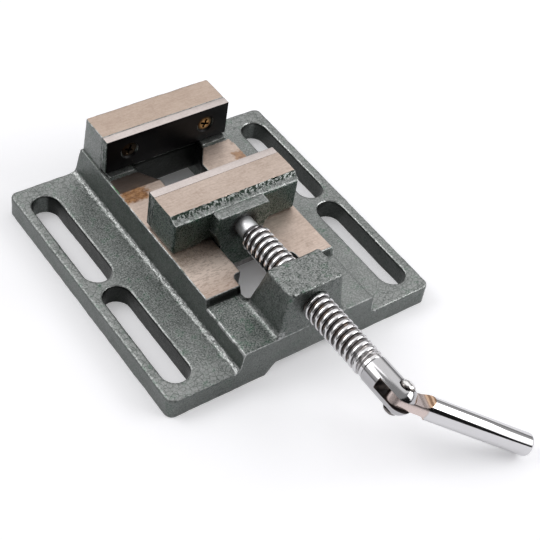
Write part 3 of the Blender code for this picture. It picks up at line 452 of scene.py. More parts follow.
def wayIron(name):
    coat = Finish(name)
    sizes = wayFinish
    color, height, mottle = iron(coat, sizes["dark"], sizes["pale"])
    fray = coat.noise(2.4, 5.0, 0.7) - 0.5
    middleX, middleY, reachX, reachY = sizes["rust"]
    rust = (abs(coat.x + middleX) + fray * 9.0).step(reachX, reachX * 0.55) \
        * (abs(coat.y - middleY) + fray * 5.0).step(reachY, reachY * 0.6) * (0.5 + coat.noise(2.6, 4.0, 0.7))
    other = (abs(coat.x - 29.5) + fray * 7.0).step(3.6, 1.8) * (abs(coat.y - 30.0) + fray * 5.0).step(3.4, 1.6)
    spots = coat.noise(1.5, 4.0, 0.7).step(0.67, 0.75) * 0.4
    rust = rust.math("MAXIMUM", other * 0.7).math("MAXIMUM", spots)
    brown = coat.blend(coat.noise(1.4, 4.0, 0.7, stretch=(0.5, 1.0, 1.0)).step(0.36, 0.62),
                       *sizes["rusty"])
    low = coat.z.step(30.0, 29.0)
    color = coat.blend(rust * low, color, brown)
    # the left way darker from this edge to the fixed jaw
    darkPatch = (coat.y + fray * 0.8).step(sizes["darkPatch"] - 0.3, sizes["darkPatch"] + 0.3) * coat.x.step(-9.0, -12.0) \
        * low
    color = coat.blend(darkPatch * 0.88, color, sizes["darkened"])
    grime = coat.noise(7.0, 4.0, 0.6).step(0.56, 0.75) * (0.10 + low * 0.25)
    color = coat.blend(grime, color, sizes["grime"])
    color = coat.blend((1.0 - low) * 0.45, color, sizes["jawTop"])
    leftWay = coat.x.step(4.0, -4.0)
    close = (coat.y + fray * 10.0).step(-25.0, -18.0) * (coat.y + fray * 5.0).step(2.0, -9.0) * leftWay
    scratches = coat.noise(0.55, 3.0, 0.7, stretch=(1.0, 0.3, 1.0)).step(0.46, 0.60) * close
    color = coat.blend(close * low * 0.12, color, sizes["brown"])
    color = coat.blend(scratches * 0.38 * low, color, sizes["scratch"])
    # painted light on the left way in front of the moving jaw, where its shadow falls
    paintedLight = (coat.y + fray * 6.0).step(-13.0, -20.0) * coat.y.step(-40.0, -25.0) * leftWay * low
    color = coat.blend(paintedLight * 0.50, color, sizes["paintedLight"])
    streaks = coat.noise(0.8, 4.0, 0.7, stretch=(0.35, 1.0, 1.0)).step(0.47, 0.60) * leftWay \
        * coat.y.step(-10.0, -16.0)
    color = coat.blend(streaks * 0.42 * low, color, sizes["streak"])
    # painted shade on the front of the left way
    color = coat.blend(coat.y.step(-24.0, -34.0) * leftWay * low * 0.30, color, sizes["frontShade"])
    enamel, bumps, tone = hammerEnamel(coat, 0.3, 0.6)
    torn = (coat.noise(1.5, 4.0, 0.7) - 0.5) * 3.0
    ledge = (coat.y + torn).step(sizes["paintFrom"] - 0.4, sizes["paintFrom"] + 0.4)
    jawSide = (abs(coat.x) + torn * 0.3).step(31.2, 31.7) * (coat.y + torn).step(38.0, 39.0)
    edge = (abs(coat.x) + torn * 0.35).step(31.9, 32.2) * coat.noise(6.0, 2.0, 0.5).step(0.45, 0.55)
    painted = ledge.math("MAXIMUM", jawSide).math("MAXIMUM", edge) * low
    fresh = (abs(coat.x + 32.3) + torn * 0.2).step(1.0, 0.5) * (abs(coat.y - 35.3) + torn).step(3.2, 2.4)
    enamel = coat.blend(edge * 0.6, enamel, sizes["chipped"])
    enamel = coat.blend(fresh, enamel, sizes["fresh"])
    painted = painted.math("MAXIMUM", fresh)
    return coat.metal(coat.blend(painted, color, enamel), 0.85 - rust * low * 0.6,
                      0.42 + mottle * 0.12 + rust * low * 0.2 - painted * 0.1,
                      height * (1.0 - painted) * 0.2 + bumps * painted, 0.10)


def jawTopIron(name):
    coat = Finish(name)
    color, height, mottle = iron(coat, (0.410, 0.322, 0.268), (0.615, 0.512, 0.450))
    return coat.metal(color, 0.85, 0.42 + mottle * 0.12, height, 0.02)


def jawPlateFinish(name, top):
    # black plate, its top milled bare with the jaw's, its ends under the castings' paint
    coat = Finish(name)
    faceX, faceY, faceZ = coat.facing()
    steel, height, mottle = iron(coat, (0.52, 0.455, 0.432), (0.68, 0.615, 0.592), 0.35)
    bare = faceZ.step(0.80, 0.92) * coat.z.step(top - 0.9, top - 0.3)
    smudge = coat.noise(7.0, 4.0, 0.6).step(0.45, 0.8)
    black = coat.blend(smudge, (0.0012, 0.0010, 0.0014), (0.0045, 0.0036, 0.0034))
    worn = coat.noise(1.6, 4.0, 0.7).step(0.66, 0.72) * coat.z.step(top - 12.0, top - 16.0)
    black = coat.blend(worn * 0.6, black, (0.10, 0.07, 0.055))
    enamel, bumps, tone = hammerEnamel(coat, 0.0, 0.9)
    ends = abs(faceX).step(0.5, 0.8)
    streaks = coat.noise(0.9, 3.0, 0.6, stretch=(1.0, 1.0, 0.15)).step(0.40, 0.60)
    enamel = coat.blend(streaks, (0.014, 0.028, 0.020), enamel)
    color = coat.blend(bare, coat.blend(ends, black, enamel), steel)
    return coat.metal(color, 0.10 + bare * 0.75 + ends * 0.70, 0.44 - bare * 0.04,
                      height * 0.2 + bumps * ends, 0.06, Specular_IOR_Level=0.12)


def yellowZinc(name):
    # yellow zinc, gone dark in places; on the left the screws are painted dark all over, a painted reflection of
    # dark surroundings
    coat = Finish(name)
    tint = coat.noise(1.3, 3.0, 0.6)
    color = coat.blend(tint.step(0.35, 0.65), (0.55, 0.27, 0.08), (0.86, 0.62, 0.30))
    # painted reflection: the screws on the left darker
    left = coat.x.step(5.0, -5.0)
    dark = (coat.noise(1.7, 3.0, 0.65) + left * 0.40).step(0.55, 0.70)
    dark = dark.math("MAXIMUM", coat.y.step(45.2, 45.6))  # painted shade in the cross of the fixed plate's screws
    color = coat.blend(dark * 0.97, color, (0.012, 0.008, 0.006))
    return coat.metal(color, 1.0, 0.24 + tint * 0.12, tint, 0.05)


def oiledSteel(name):
    coat = Finish(name)
    haze = coat.noise(2.5, 4.0, 0.6)
    color = coat.blend(haze.step(0.35, 0.65), (0.20, 0.19, 0.185), (0.34, 0.33, 0.325))
    return coat.metal(color, 0.9, 0.38 + haze * 0.12, haze, 0.02)


# mesh helpers

def mergedCopy(name):
    # a CAD node's loose triangles as one closed mesh
    bm = bmesh.new()
    bm.from_mesh(nodes[name].data)
    bmesh.ops.remove_doubles(bm, verts=bm.verts, dist=2e-6)
    bmesh.ops.dissolve_degenerate(bm, edges=bm.edges, dist=1e-6)
    return bm


def sliceAt(bm, axis, places, keep=None):
    # cuts the mesh by planes, so that its faces become small enough to shape
    for at in places:
        place, normal = Vector(), Vector()
        place[axis] = at
        normal[axis] = 1.0
        near = [face for face in bm.faces
                if min(v.co[axis] for v in face.verts) < at < max(v.co[axis] for v in face.verts)
                and (keep is None or keep(face))]
        parts = set(near)
        for face in near:
            parts.update(face.edges)
            parts.update(face.verts)
        bmesh.ops.bisect_plane(bm, geom=list(parts), dist=1e-7, plane_co=place, plane_no=normal)


def sliceUp(bm, step, axes=(0, 1, 2), keep=None):
    for axis in axes:
        values = [vert.co[axis] for vert in bm.verts]
        low, high = min(values), max(values)
        count = max(1, round((high - low) / step))
        sliceAt(bm, axis, [low + (high - low) * (i + 0.13) / count for i in range(1, count)], keep)


def markSharp(bm, angle):
    for edge in bm.edges:
        edge.smooth = edge.calc_face_angle(0.0) < math.radians(angle)
    for face in bm.faces:
        face.smooth = True


def mergeSlivers(bm, width, keep=None):
    # closes faces that are too narrow to shape
    verts = [vert for vert in bm.verts if keep is None or keep(vert.co - middle)]
    bmesh.ops.remove_doubles(bm, verts=verts, dist=width)
    bmesh.ops.dissolve_degenerate(bm, edges=bm.edges, dist=1e-6)


def roundArrises(bm, width, keep=None, shortest=0.00045, angle=33.0):
    # rounds the sharp outer edges a little, and returns where they ran
    bmesh.ops.dissolve_limit(bm, angle_limit=math.radians(0.5), verts=bm.verts, edges=bm.edges)
    sharp = [edge for edge in bm.edges if edge.is_manifold and edge.is_convex
             and edge.calc_face_angle() > math.radians(angle)]
    lines = [tuple(vert.co.copy() for vert in edge.verts) for edge in sharp]
    small = {vert for edge in bm.edges if edge.calc_length() < shortest for vert in edge.verts}
    chosen = [edge for edge in sharp if not small.intersection(edge.verts)
              and (keep is None or keep((edge.verts[0].co + edge.verts[1].co) / 2 - middle))]
    bevelled(bm, chosen, width, 2)
    return lines


def markArrises(bm, lines, spacing=0.001):
    # how far each point is from those edges, in millimetres, for the wear and painted highlights along them
    layer = bm.verts.layers.float.new("arris")
    pieces = []
    for first, last in lines:
        count = max(1, math.ceil((last - first).length / spacing))
        pieces += [(first.lerp(last, i / count), first.lerp(last, (i + 1) / count)) for i in range(count)]
    tree = kdtree.KDTree(len(pieces))
    for i, (first, last) in enumerate(pieces):
        tree.insert((first + last) / 2, i)
    tree.balance()
    for vert in bm.verts:
        nearest = 0.003
        for place, i, reach in tree.find_n(vert.co, 3):
            first, last = pieces[i]
            at, share = geometry.intersect_point_line(vert.co, first, last)
            at = first if share < 0 else last if share > 1 else at
            nearest = min(nearest, (vert.co - at).length)
        vert[layer] = nearest * 1000.0


def addPiece(name, bm, materials, body, replaced=()):
    obj = linked(name, meshOf(name, bm))
    for material in materials:
        obj.data.materials.append(material)
    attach(obj, body)
    if replaced:
        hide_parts(*replaced)
    return obj


def carve(bm, cutter):
    # takes the cutter out of the solid
    made = [linked("carving", meshOf("carving", part)) for part in (bm, cutter)]
    modifier = made[0].modifiers.new("carving", "BOOLEAN")
    modifier.operation, modifier.solver, modifier.object = "DIFFERENCE", "EXACT", made[1]
    result = bpy.data.meshes.new_from_object(made[0].evaluated_get(bpy.context.evaluated_depsgraph_get()))
    carved = bmesh.new()
    carved.from_mesh(result)
    for obj in made:
        mesh = obj.data
        bpy.data.objects.remove(obj)
        bpy.data.meshes.remove(mesh)
    bpy.data.meshes.remove(result)
    bmesh.ops.remove_doubles(carved, verts=carved.verts, dist=2e-6)
    return carved


def spinProfile(profile, steps, rounded=()):
    # turns (radius, y) points about the Y axis; rounded lists (index, width) of corners to round first
    bm = bmesh.new()
    verts = [bm.verts.new((radius, y, 0)) for radius, y in profile]
    for pair in zip(verts, verts[1:]):
        bm.edges.new(pair)
    for index, width in rounded:
        bevelled(bm, [verts[index]], width, 4, "VERTICES")
    bmesh.ops.spin(bm, geom=bm.verts[:] + bm.edges[:], axis=(0, 1, 0), cent=(0, 0, 0),
                   angle=2 * math.pi, steps=steps, use_merge=True)
    bmesh.ops.remove_doubles(bm, verts=bm.verts, dist=1e-7)
    bmesh.ops.recalc_face_normals(bm, faces=bm.faces)
    return bm


def bevelled(bm, geom, width, segments, affect="EDGES"):
    bmesh.ops.bevel(bm, geom=geom, offset=width, segments=segments, profile=0.5, affect=affect, material=-1)


def placed(bm, matrix):
    bmesh.ops.transform(bm, matrix=matrix, verts=bm.verts)


def turned(bm, angle, axis):
    bmesh.ops.rotate(bm, matrix=Matrix.Rotation(angle, 3, axis), verts=bm.verts)


def block(size, at):
    bm = bmesh.new()
    bmesh.ops.create_cube(bm, size=1.0)
    bmesh.ops.scale(bm, vec=size, verts=bm.verts)
    bmesh.ops.translate(bm, vec=at, verts=bm.verts)
    return bm


def rod(radius, low, high, steps):
    return spinProfile([(0, low), (radius, low), (radius, high), (0, high)], steps)


def bumpy(place, size, seed=0.0):
    return noise.noise(Vector(place) / size + Vector((seed, seed * 1.7, seed * 2.3)))


# base casting

baseSizes = {
    "step": 0.0014, "fine": 0.00055, "arris": 0.00035, "foot": (0.0334, 0.0370), "footHeight": (0.0098, 0.0128),
    "wayHeight": 0.0237, "jawHeight": 0.0427, "jawSeat": 0.0490, "keeperTrack": 0.0093,
    "axisHeight": 0.0325, "nutReach": 0.0072,
    "waves": (0.011, 0.00016), "lumps": (0.0034, 0.00011), "grain": (0.0015, 0.00004),
}


def besideScrew(place):
    return abs(abs(place.x) - 0.01975) < 0.0026


def baseFaceKind(face, sizes):
    # 0 cast, 1 machined, 2 left as it is
    place = face.calc_center_median() - middle
    normal = face.normal
    reach = math.hypot(place.x, place.z - sizes["axisHeight"])
    if reach < sizes["nutReach"] and place.y < -0.03:
        return 2
    if normal.z > 0.99 and abs(place.z - sizes["wayHeight"]) < 5e-5:
        return 1
    if normal.z > 0.99 and abs(place.z - sizes["jawHeight"]) < 5e-5 and place.y > 0:
        return 1
    if normal.y < -0.99 and abs(place.y - sizes["jawSeat"]) < 5e-5 and place.z > sizes["wayHeight"]:
        return 1
    if normal.z < -0.99 and (place.z < 5e-5 or abs(place.z - sizes["keeperTrack"]) < 5e-5):
        return 1
    if sizes["jawSeat"] - 1e-4 < place.y < baseHigh.y - middle.y - 0.006 and abs(normal.z) < 0.999 \
            and place.z > 0.03 and besideScrew(place):
        return 2
    return 0


def roughenCasting(bm, kinds, layers, extra=None):
    # pushes the cast skin in and out; machined faces stay flat and only their outline frays
    bm.normal_update()
    moves = []
    for vert in bm.verts:
        faces = vert.link_faces
        found = [kinds[face.index] for face in faces]
        if 2 in found or 0 not in found:
            continue
        push = Vector()
        for face, kind in zip(faces, found):
            if kind == 0:
                push += face.normal * face.calc_area() ** 0.5
        if push.length < 1e-9:
            continue
        push.normalize()
        amount = sum(height * bumpy(vert.co, size, i * 7.1) for i, (size, height) in enumerate(layers))
        if extra:
            amount += extra(vert.co - middle, push)
        shift = push * amount
        for face, kind in zip(faces, found):
            if kind == 1:
                shift -= face.normal * shift.dot(face.normal)
        moves.append((vert, shift))
    for vert, shift in moves:
        vert.co += shift


def dressCasting(bm, sizes, lines, faceKind, extra=None):
    markSharp(bm, 33)
    markArrises(bm, lines)
    bm.faces.index_update()
    kinds = {face.index: faceKind(face, sizes) for face in bm.faces}
    for face in bm.faces:
        face.material_index = 1 if kinds[face.index] == 1 else 0
    roughenCasting(bm, kinds, (sizes["waves"], sizes["lumps"], sizes["grain"]), extra)


def makeBase():
    sizes = baseSizes
    bm = mergedCopy("base_casting")
    lines = roundArrises(bm, sizes["arris"], lambda place: place.z > 0.001 and (
        place.y > -0.03 or math.hypot(place.x, place.z - sizes["axisHeight"]) > sizes["nutReach"]))
    sliceUp(bm, sizes["step"], keep=lambda face: face.normal.z > -0.9)
    near, far = sizes["foot"]
    low, high = sizes["footHeight"]
    fine = sizes["fine"]

    def atFoot(face):
        place = face.calc_center_median() - middle
        return near < abs(place.x) < far and low - 0.0002 < place.z < high and face.normal.z > -0.5

    for side in (-1, 1):
        sliceAt(bm, 0, [middle.x + side * (near + fine * i) for i in range(int((far - near) / fine) + 1)], atFoot)
    sliceAt(bm, 2, [low + 0.0002 + fine * (i + 0.5) for i in range(int((high - low) / fine))], atFoot)
    halfStep = sizes["step"] / 2
    count = int((baseHigh.y - baseLow.y) / halfStep / 2)
    sliceAt(bm, 1, [baseLow.y + halfStep * (i * 2 + 1.2) for i in range(count)], atFoot)
    mergeSlivers(bm, 0.00018, lambda place: place.z > 0.0002 and (
        place.y > -0.03 or math.hypot(place.x, place.z - sizes["axisHeight"]) > sizes["nutReach"] + 0.0003))

    def ledges(place, push):
        # the rough skin beside the fixed jaw plate, the lumpy fillet at the body's foot, the boss's uneven top
        amount = 0.0
        if place.z > 0.0236 and 0.0415 < place.y < 0.0495 and push.z > 0.3:
            amount += 0.00022 * bumpy(place, 0.0013, 3.0) - 0.00005
        if place.y < -0.035 and place.z > 0.0405:
            amount += 0.00036 * bumpy(place, 0.0025, 5.0) + 0.00018 * bumpy(place, 0.0012, 11.0)
        if near < abs(place.x) < far and low < place.z < high:
            inside = min(1.0, min(abs(place.x) - near, far - abs(place.x), high - place.z) / 0.0008)
            amount += inside * (0.00030 * bumpy(place, 0.0016, 6.0) + 0.00022 * bumpy(place, 0.0008, 8.0))
        return amount

    dressCasting(bm, sizes, lines, baseFaceKind, ledges)
    materials = [castFinish("hammerEnamel"), wayIron("groundWays")]
    return addPiece("baseCasting", bm, materials, "base", ["base_casting"])


base = makeBase()
print("base casting made:", len(base.data.polygons), "faces")


# moving jaw casting

jawSizes = {
    "step": 0.00085, "arris": 0.0008, "top": 0.0430, "seat": 0.0066, "rimStart": -0.0060, "rimDrop": 0.0008,
    "bossFace": -0.0150, "axisHeight": 0.0325, "boreReach": 0.0050,
    "waves": (0.008, 0.00012), "lumps": (0.0022, 0.00012), "grain": (0.0011, 0.00005),
}


def jawFaceKind(face, sizes):
    place = face.calc_center_median() - middle
    normal = face.normal
    if math.hypot(place.x, place.z - sizes["axisHeight"]) < sizes["boreReach"] and abs(normal.y) < 0.9:
        return 2
    if normal.z > 0.99 and abs(place.z - sizes["top"]) < 5e-5:
        return 1
    if normal.y > 0.99 and abs(place.y - sizes["seat"]) < 5e-5:
        return 1
    if place.z < 0.0245 or (place.z < 0.027 and abs(place.x) < 0.0108):
        return 2
    if abs(normal.z) < 0.999 and -0.0045 < place.y < sizes["seat"] - 1e-4 and 0.030 < place.z < 0.038 \
            and besideScrew(place):
        return 2
    return 0


def makeMovingJaw():
    sizes = jawSizes
    bm = mergedCopy("moving_jaw_casting")
    lines = roundArrises(bm, sizes["arris"], shortest=0.001,
                         keep=lambda place: place.z > 0.0245 and place.y < sizes["rimStart"] + 0.002)
    sliceUp(bm, sizes["step"])
    mergeSlivers(bm, 0.00012, lambda place: place.z > 0.0245)
    dressCasting(bm, sizes, lines, jawFaceKind)
    for vert in bm.verts:  # ragged step behind the milled top
        place = vert.co - middle
        across = (place.x, 0, 0)
        edge = sizes["rimStart"] + 0.0005 * bumpy(across, 0.0011, 2.0) + 0.0003 * bumpy(across, 0.004, 4.0)
        if place.z > 0.0395 and sizes["bossFace"] - 0.001 < place.y < sizes["rimStart"] + 1e-5:
            if abs(place.z - sizes["top"]) < 1e-4:
                vert.co.y = middle.y + edge
            else:
                deep = min(1.0, max(0.0, (edge - place.y) / 0.0006))
                near = min(1.0, max(0.0, (place.y + 0.0105) / 0.002))
                vert.co.z -= sizes["rimDrop"] * deep * (0.8 + 0.4 * bumpy(place, 0.003, 9.0)) * near
    materials = [castFinish("jawEnamel", jaw=True), jawTopIron("groundJawTop")]
    return addPiece("movingJaw", bm, materials, "moving_jaw", ["moving_jaw_casting"])


movingJaw = makeMovingJaw()
print("moving jaw made:", len(movingJaw.data.polygons), "faces")


# lead screw

screwSizes = {
    "height": 0.0325, "crest": 0.0065, "root": 0.0051, "pitch": 0.003175, "flat": 0.00148, "flank": 14.5,
    "crestRound": 0.00042, "rootRound": 0.0003, "steps": 60,
    "neckEnd": -0.0222, "threadEnd": -0.1027, "neck": 0.00435, "noseEnd": 0.0015,
    "groove": (-0.0103, -0.0067, 0.0030), "taper": 0.0016,
    "clevisStart": -0.1045, "clevisEnd": -0.1277, "clevis": 0.0063, "slot": 0.0048, "slotReach": 0.0082,
    "slotRound": 0.0018, "ball": 0.0070, "collar": 0.0060, "spotFace": 0.0056, "headSeat": 0.0036,
}
rivetPlace = Vector(joints["handle_fold"]["pos_m"])
rivetAxis = Vector(joints["handle_fold"]["axis"]).normalized()
handleVerts = nodes["handle_lever"].data.vertices
handleAxis = rivetPlace - sum((vert.co for vert in handleVerts), Vector()) / len(handleVerts)
handleAxis = (handleAxis - rivetAxis * handleAxis.dot(rivetAxis)).normalized()  # from the tip to the rivet
screwAxis = Vector((0, 1, 0))
acrossRivet = rivetAxis.cross(screwAxis)
rivetSpace = Matrix((rivetAxis, screwAxis, acrossRivet)).transposed().to_4x4()
atRivet = Matrix.Translation(rivetPlace) @ rivetSpace  # x along the rivet, y along the screw


def screwSteel(name):
    # bright rolled thread, its roots darkened by grease and painted shade; the neck and the clevis slot have their
    # own looks
    coat = Finish(name)
    sizes = screwSizes
    reach = (coat.x * coat.x + (coat.z - sizes["height"] * 1000) * (coat.z - sizes["height"] * 1000)).math("SQRT")
    haze = coat.noise(3.0, 4.0, 0.6)
    color = coat.blend(haze.step(0.3, 0.75) * 0.5, (0.70, 0.69, 0.70), (0.56, 0.545, 0.55))
    thread = coat.y.step(sizes["neckEnd"] * 1000 + 0.6, sizes["neckEnd"] * 1000) \
        * coat.y.step(sizes["threadEnd"] * 1000 - 0.3, sizes["threadEnd"] * 1000 + 0.3)
    crest, root = sizes["crest"] * 1000, sizes["root"] * 1000
    # grease and painted shade in the thread's roots
    darkened = thread * reach.step(crest - 0.28, crest - 0.75) * (1.0 - coat.y.step(-93.0, -100.0) * 0.6)
    brown = coat.blend(coat.noise(5.0, 3.0, 0.6).step(0.45, 0.65), (0.080, 0.072, 0.072), (0.135, 0.095, 0.070))
    color = coat.blend(darkened * 0.93, color, brown)
    # painted shade inside the clevis slot
    across = abs(coat.along(rivetAxis, rivetPlace))
    slot = across.step(sizes["slot"] * 500 + 0.25, sizes["slot"] * 500 - 0.05) * coat.y.step(-112.0, -112.4)
    color = coat.blend(slot, color, coat.blend(haze.step(0.4, 0.6), (0.020, 0.015, 0.013), (0.060, 0.045, 0.038)))
    neck = coat.y.step(sizes["neckEnd"] * 1000 + 0.5, sizes["neckEnd"] * 1000 + 0.9)
    color = coat.blend(neck * 0.9, color, (0.88, 0.88, 0.90))
    fork = coat.y.step(sizes["clevisStart"] * 1000 + 0.6, sizes["clevisStart"] * 1000) * (1.0 - slot)
    color = coat.blend(fork * 0.85, color, (0.43, 0.425, 0.435))
    lines = coat.noise(0.22, 3.0, 0.6, stretch=(0.1, 1.0, 0.1))
    return coat.metal(color, 1.0, 0.12 + neck * 0.25 + darkened * 0.22 + slot * 0.3 + haze * 0.05,
                      lines * (0.4 + neck * 9.0) + haze * 0.4, 0.006)


def threadedRod(sizes):
    halfFlat = sizes["flat"] / 2
    halfFoot = halfFlat + (sizes["crest"] - sizes["root"]) * math.tan(math.radians(sizes["flank"]))
    first = math.floor(sizes["threadEnd"] / sizes["pitch"]) - 1
    turns = math.ceil((sizes["neckEnd"] - sizes["threadEnd"]) / sizes["pitch"]) + 3
    bm = bmesh.new()
    verts = []
    for i in range(turns):
        y = (first + i) * sizes["pitch"]
        verts += [bm.verts.new(place) for place in (
            (sizes["root"], y - halfFoot, 0), (sizes["crest"], y - halfFlat, 0),
            (sizes["crest"], y + halfFlat, 0), (sizes["root"], y + halfFoot, 0))]
    for pair in zip(verts, verts[1:]):
        bm.edges.new(pair)
    for i, vert in enumerate(verts[1:-1], 1):
        width = sizes["crestRound"] if i % 4 in (1, 2) else sizes["rootRound"]
        bevelled(bm, [vert], width, 3, "VERTICES")
    bmesh.ops.spin(bm, geom=bm.verts[:] + bm.edges[:], axis=(0, 1, 0), cent=(0, 0, 0), angle=2 * math.pi,
                   dvec=(0, sizes["pitch"] / sizes["steps"], 0), steps=sizes["steps"])
    bmesh.ops.remove_doubles(bm, verts=bm.verts, dist=2e-6)
    for y, side in ((sizes["threadEnd"], -1), (sizes["neckEnd"], 1)):
        bmesh.ops.bisect_plane(bm, geom=bm.verts[:] + bm.edges[:] + bm.faces[:], dist=1e-7,
                               plane_co=(0, y, 0), plane_no=(0, side, 0), clear_outer=True)
    bmesh.ops.holes_fill(bm, edges=[edge for edge in bm.edges if edge.is_boundary], sides=0)
    for vert in bm.verts:  # run-in cones at both ends of the thread
        reach = math.hypot(vert.co.x, vert.co.z)
        inside = min((vert.co.y - sizes["threadEnd"]) * 2, sizes["neckEnd"] - vert.co.y)
        limit = sizes["root"] - 0.0003 + (sizes["crest"] - sizes["root"]) * max(0.0, inside) / sizes["taper"]
        if reach > limit:
            vert.co.x *= limit / reach
            vert.co.z *= limit / reach
    bmesh.ops.recalc_face_normals(bm, faces=bm.faces)
    if sum(face.normal.dot(Vector((face.calc_center_median().x, 0, face.calc_center_median().z)))
           for face in bm.faces) < 0:
        bmesh.ops.reverse_faces(bm, faces=bm.faces)
    return bm


def joinInto(bm, other):
    mesh = meshOf("joining", other)
    bm.from_mesh(mesh)
    bpy.data.meshes.remove(mesh)


def screwNose(sizes):
    low, high, deep = sizes["groove"]
    profile = [(0, sizes["noseEnd"]), (0.0035, sizes["noseEnd"]), (sizes["neck"], sizes["noseEnd"] - 0.0008),
               (sizes["neck"], high), (deep, high), (deep, low), (sizes["neck"], low),
               (sizes["neck"], sizes["neckEnd"] + 0.0010), (sizes["root"] - 0.0002, sizes["neckEnd"] + 0.0002),
               (sizes["root"] - 0.0002, sizes["neckEnd"] - 0.002), (0, sizes["neckEnd"] - 0.002)]
    return spinProfile(profile, 64, [(2, 0.0003), (7, 0.0004), (8, 0.0002)])


def clevis(sizes):
    start, end, radius = sizes["clevisStart"], sizes["clevisEnd"], sizes["clevis"]
    ball = sizes["ball"]  # the ears end in a ball about the rivet
    turns = [math.asin(radius / ball) * i / 10 for i in range(11)]
    profile = [(ball * math.sin(turn), end + ball - ball * math.cos(turn)) for turn in turns]
    collar, last = sizes["collar"], sizes["threadEnd"]
    profile += [(radius, start - 0.0003), (radius - 0.0003, start), (collar - 0.0004, start),
                (collar, start + 0.0004), (collar, last - 0.0002), (collar - 0.0005, last + 0.0003),
                (0.0050, last + 0.0006), (0.0050, last + 0.003), (0, last + 0.003)]
    bm = spinProfile(profile, 96)
    placed(bm, Matrix.Translation((middle.x, middle.y, sizes["height"])))
    length = 0.012 + sizes["slotReach"]
    mouth = block((sizes["slot"], length, 0.02), (0, sizes["slotReach"] - length / 2, 0))
    inner = [edge for edge in mouth.edges
             if all(vert.co.y > 0 for vert in edge.verts) and abs(edge.verts[0].co.z - edge.verts[1].co.z) > 0.01]
    bevelled(mouth, inner, sizes["slotRound"], 6)
    placed(mouth, atRivet)
    bm = carve(bm, mouth)
    for side in (-1, 1):
        seat = rod(sizes["headSeat"], 0, 0.004, 48)
        turn = Matrix.Rotation(-side * math.pi / 2, 4, "Z") @ Matrix.Translation((0, sizes["spotFace"], 0))
        placed(seat, atRivet @ turn)
        bm = carve(bm, seat)
    return bm


def makeLeadScrew():
    sizes = screwSizes
    bm = threadedRod(sizes)
    joinInto(bm, screwNose(sizes))
    placed(bm, Matrix.Translation((middle.x, middle.y, sizes["height"])))
    joinInto(bm, clevis(sizes))
    markSharp(bm, 38)
    return addPiece("leadScrew", bm, [screwSteel("brightScrew")], "lead_screw", ["lead_screw"])


leadScrew = makeLeadScrew()
print("lead screw made:", len(leadScrew.data.polygons), "faces")


# rivet and handle

handleSizes = {"radius": 0.0050, "length": 0.0645, "tang": 0.0042, "tangLength": 0.0088, "shoulder": 0.0065,
               "endRound": 0.0013, "noseRadius": 0.0050, "bore": 0.0023}
rivetSizes = {"shank": 0.0020, "seat": 0.0059, "head": 0.0033, "dome": 0.0019}


def rivetSteel(name):
    coat = Finish(name)
    haze = coat.noise(1.2, 4.0, 0.6)
    first, second = (coat.along(axis, rivetPlace) for axis in (screwAxis, acrossRivet))
    reach = (first * first + second * second).math("SQRT")
    color = coat.blend(haze.step(0.35, 0.7) * 0.6, (0.80, 0.79, 0.79), (0.58, 0.55, 0.53))
    # painted shade round the head's rim, where it sits on the clevis
    color = coat.blend(reach.step(2.5, 3.1) * 0.85, color, (0.10, 0.085, 0.075))
    return coat.metal(color, 1.0, 0.10 + haze * 0.08, haze, 0.03)


def makeRivet():
    sizes = rivetSizes
    dome = [(sizes["head"] * math.cos(math.pi * i / 18), sizes["dome"] * math.sin(math.pi * i / 18) ** 0.9)
            for i in range(9)]
    upper = [(radius, sizes["seat"] + rise) for radius, rise in dome] + [(0, sizes["seat"] + sizes["dome"])]
    profile = [(radius, -y) for radius, y in reversed(upper)] + [(sizes["shank"], -sizes["seat"]),
                                                                 (sizes["shank"], sizes["seat"])] + upper
    bm = spinProfile(profile, 48)
    for vert in bm.verts:  # set with a hammer, so not quite round
        if abs(vert.co.y) > sizes["seat"] + 0.0002:
            vert.co += vert.co.normalized() * 0.00012 * bumpy(vert.co, 0.0016, 1.0)
    placed(bm, atRivet @ Matrix.Rotation(-math.pi / 2, 4, "Z"))
    markSharp(bm, 40)
    return addPiece("hingeRivet", bm, [rivetSteel("rivetSteel")], "lead_screw", ["hinge_rivet"])


def chromeHandle(name):
    # polished chrome; the milled tang keeps a copper tint
    coat = Finish(name)
    haze = coat.noise(4.0, 4.0, 0.6)
    color = coat.blend(haze.step(0.3, 0.75) * 0.3, (0.67, 0.665, 0.675), (0.60, 0.59, 0.60))
    along = coat.along(handleAxis, rivetPlace) * -1.0  # millimetres from the rivet towards the tip
    across = abs(coat.along(rivetAxis, rivetPlace))
    curve = (along * 2.4 + across * across * 0.30 + coat.noise(1.6, 2.0, 0.5) * 2.5).math("SINE")
    copper = coat.blend(curve.step(-0.7, 0.9), (0.250, 0.150, 0.095), (0.58, 0.40, 0.28))
    shoulder = handleSizes["shoulder"] * 1000
    aside, ahead = across - (handleSizes["tang"] * 500 + shoulder), along - handleSizes["tangLength"] * 1000
    hollow = (aside * aside + ahead * ahead).math("SQRT").step(shoulder + 0.25, shoulder + 0.05) \
        * across.step(2.2, 2.5)
    flat = along.step(12.5, 11.0) * across.step(3.2, 2.3)
    copper = coat.blend(flat, copper, (0.66, 0.54, 0.50))
    tint = hollow.math("MAXIMUM", flat * 0.85)
    return coat.metal(coat.blend(tint, color, copper), 1.0, 0.05 + tint * 0.20 + haze * 0.04, haze, 0.004)


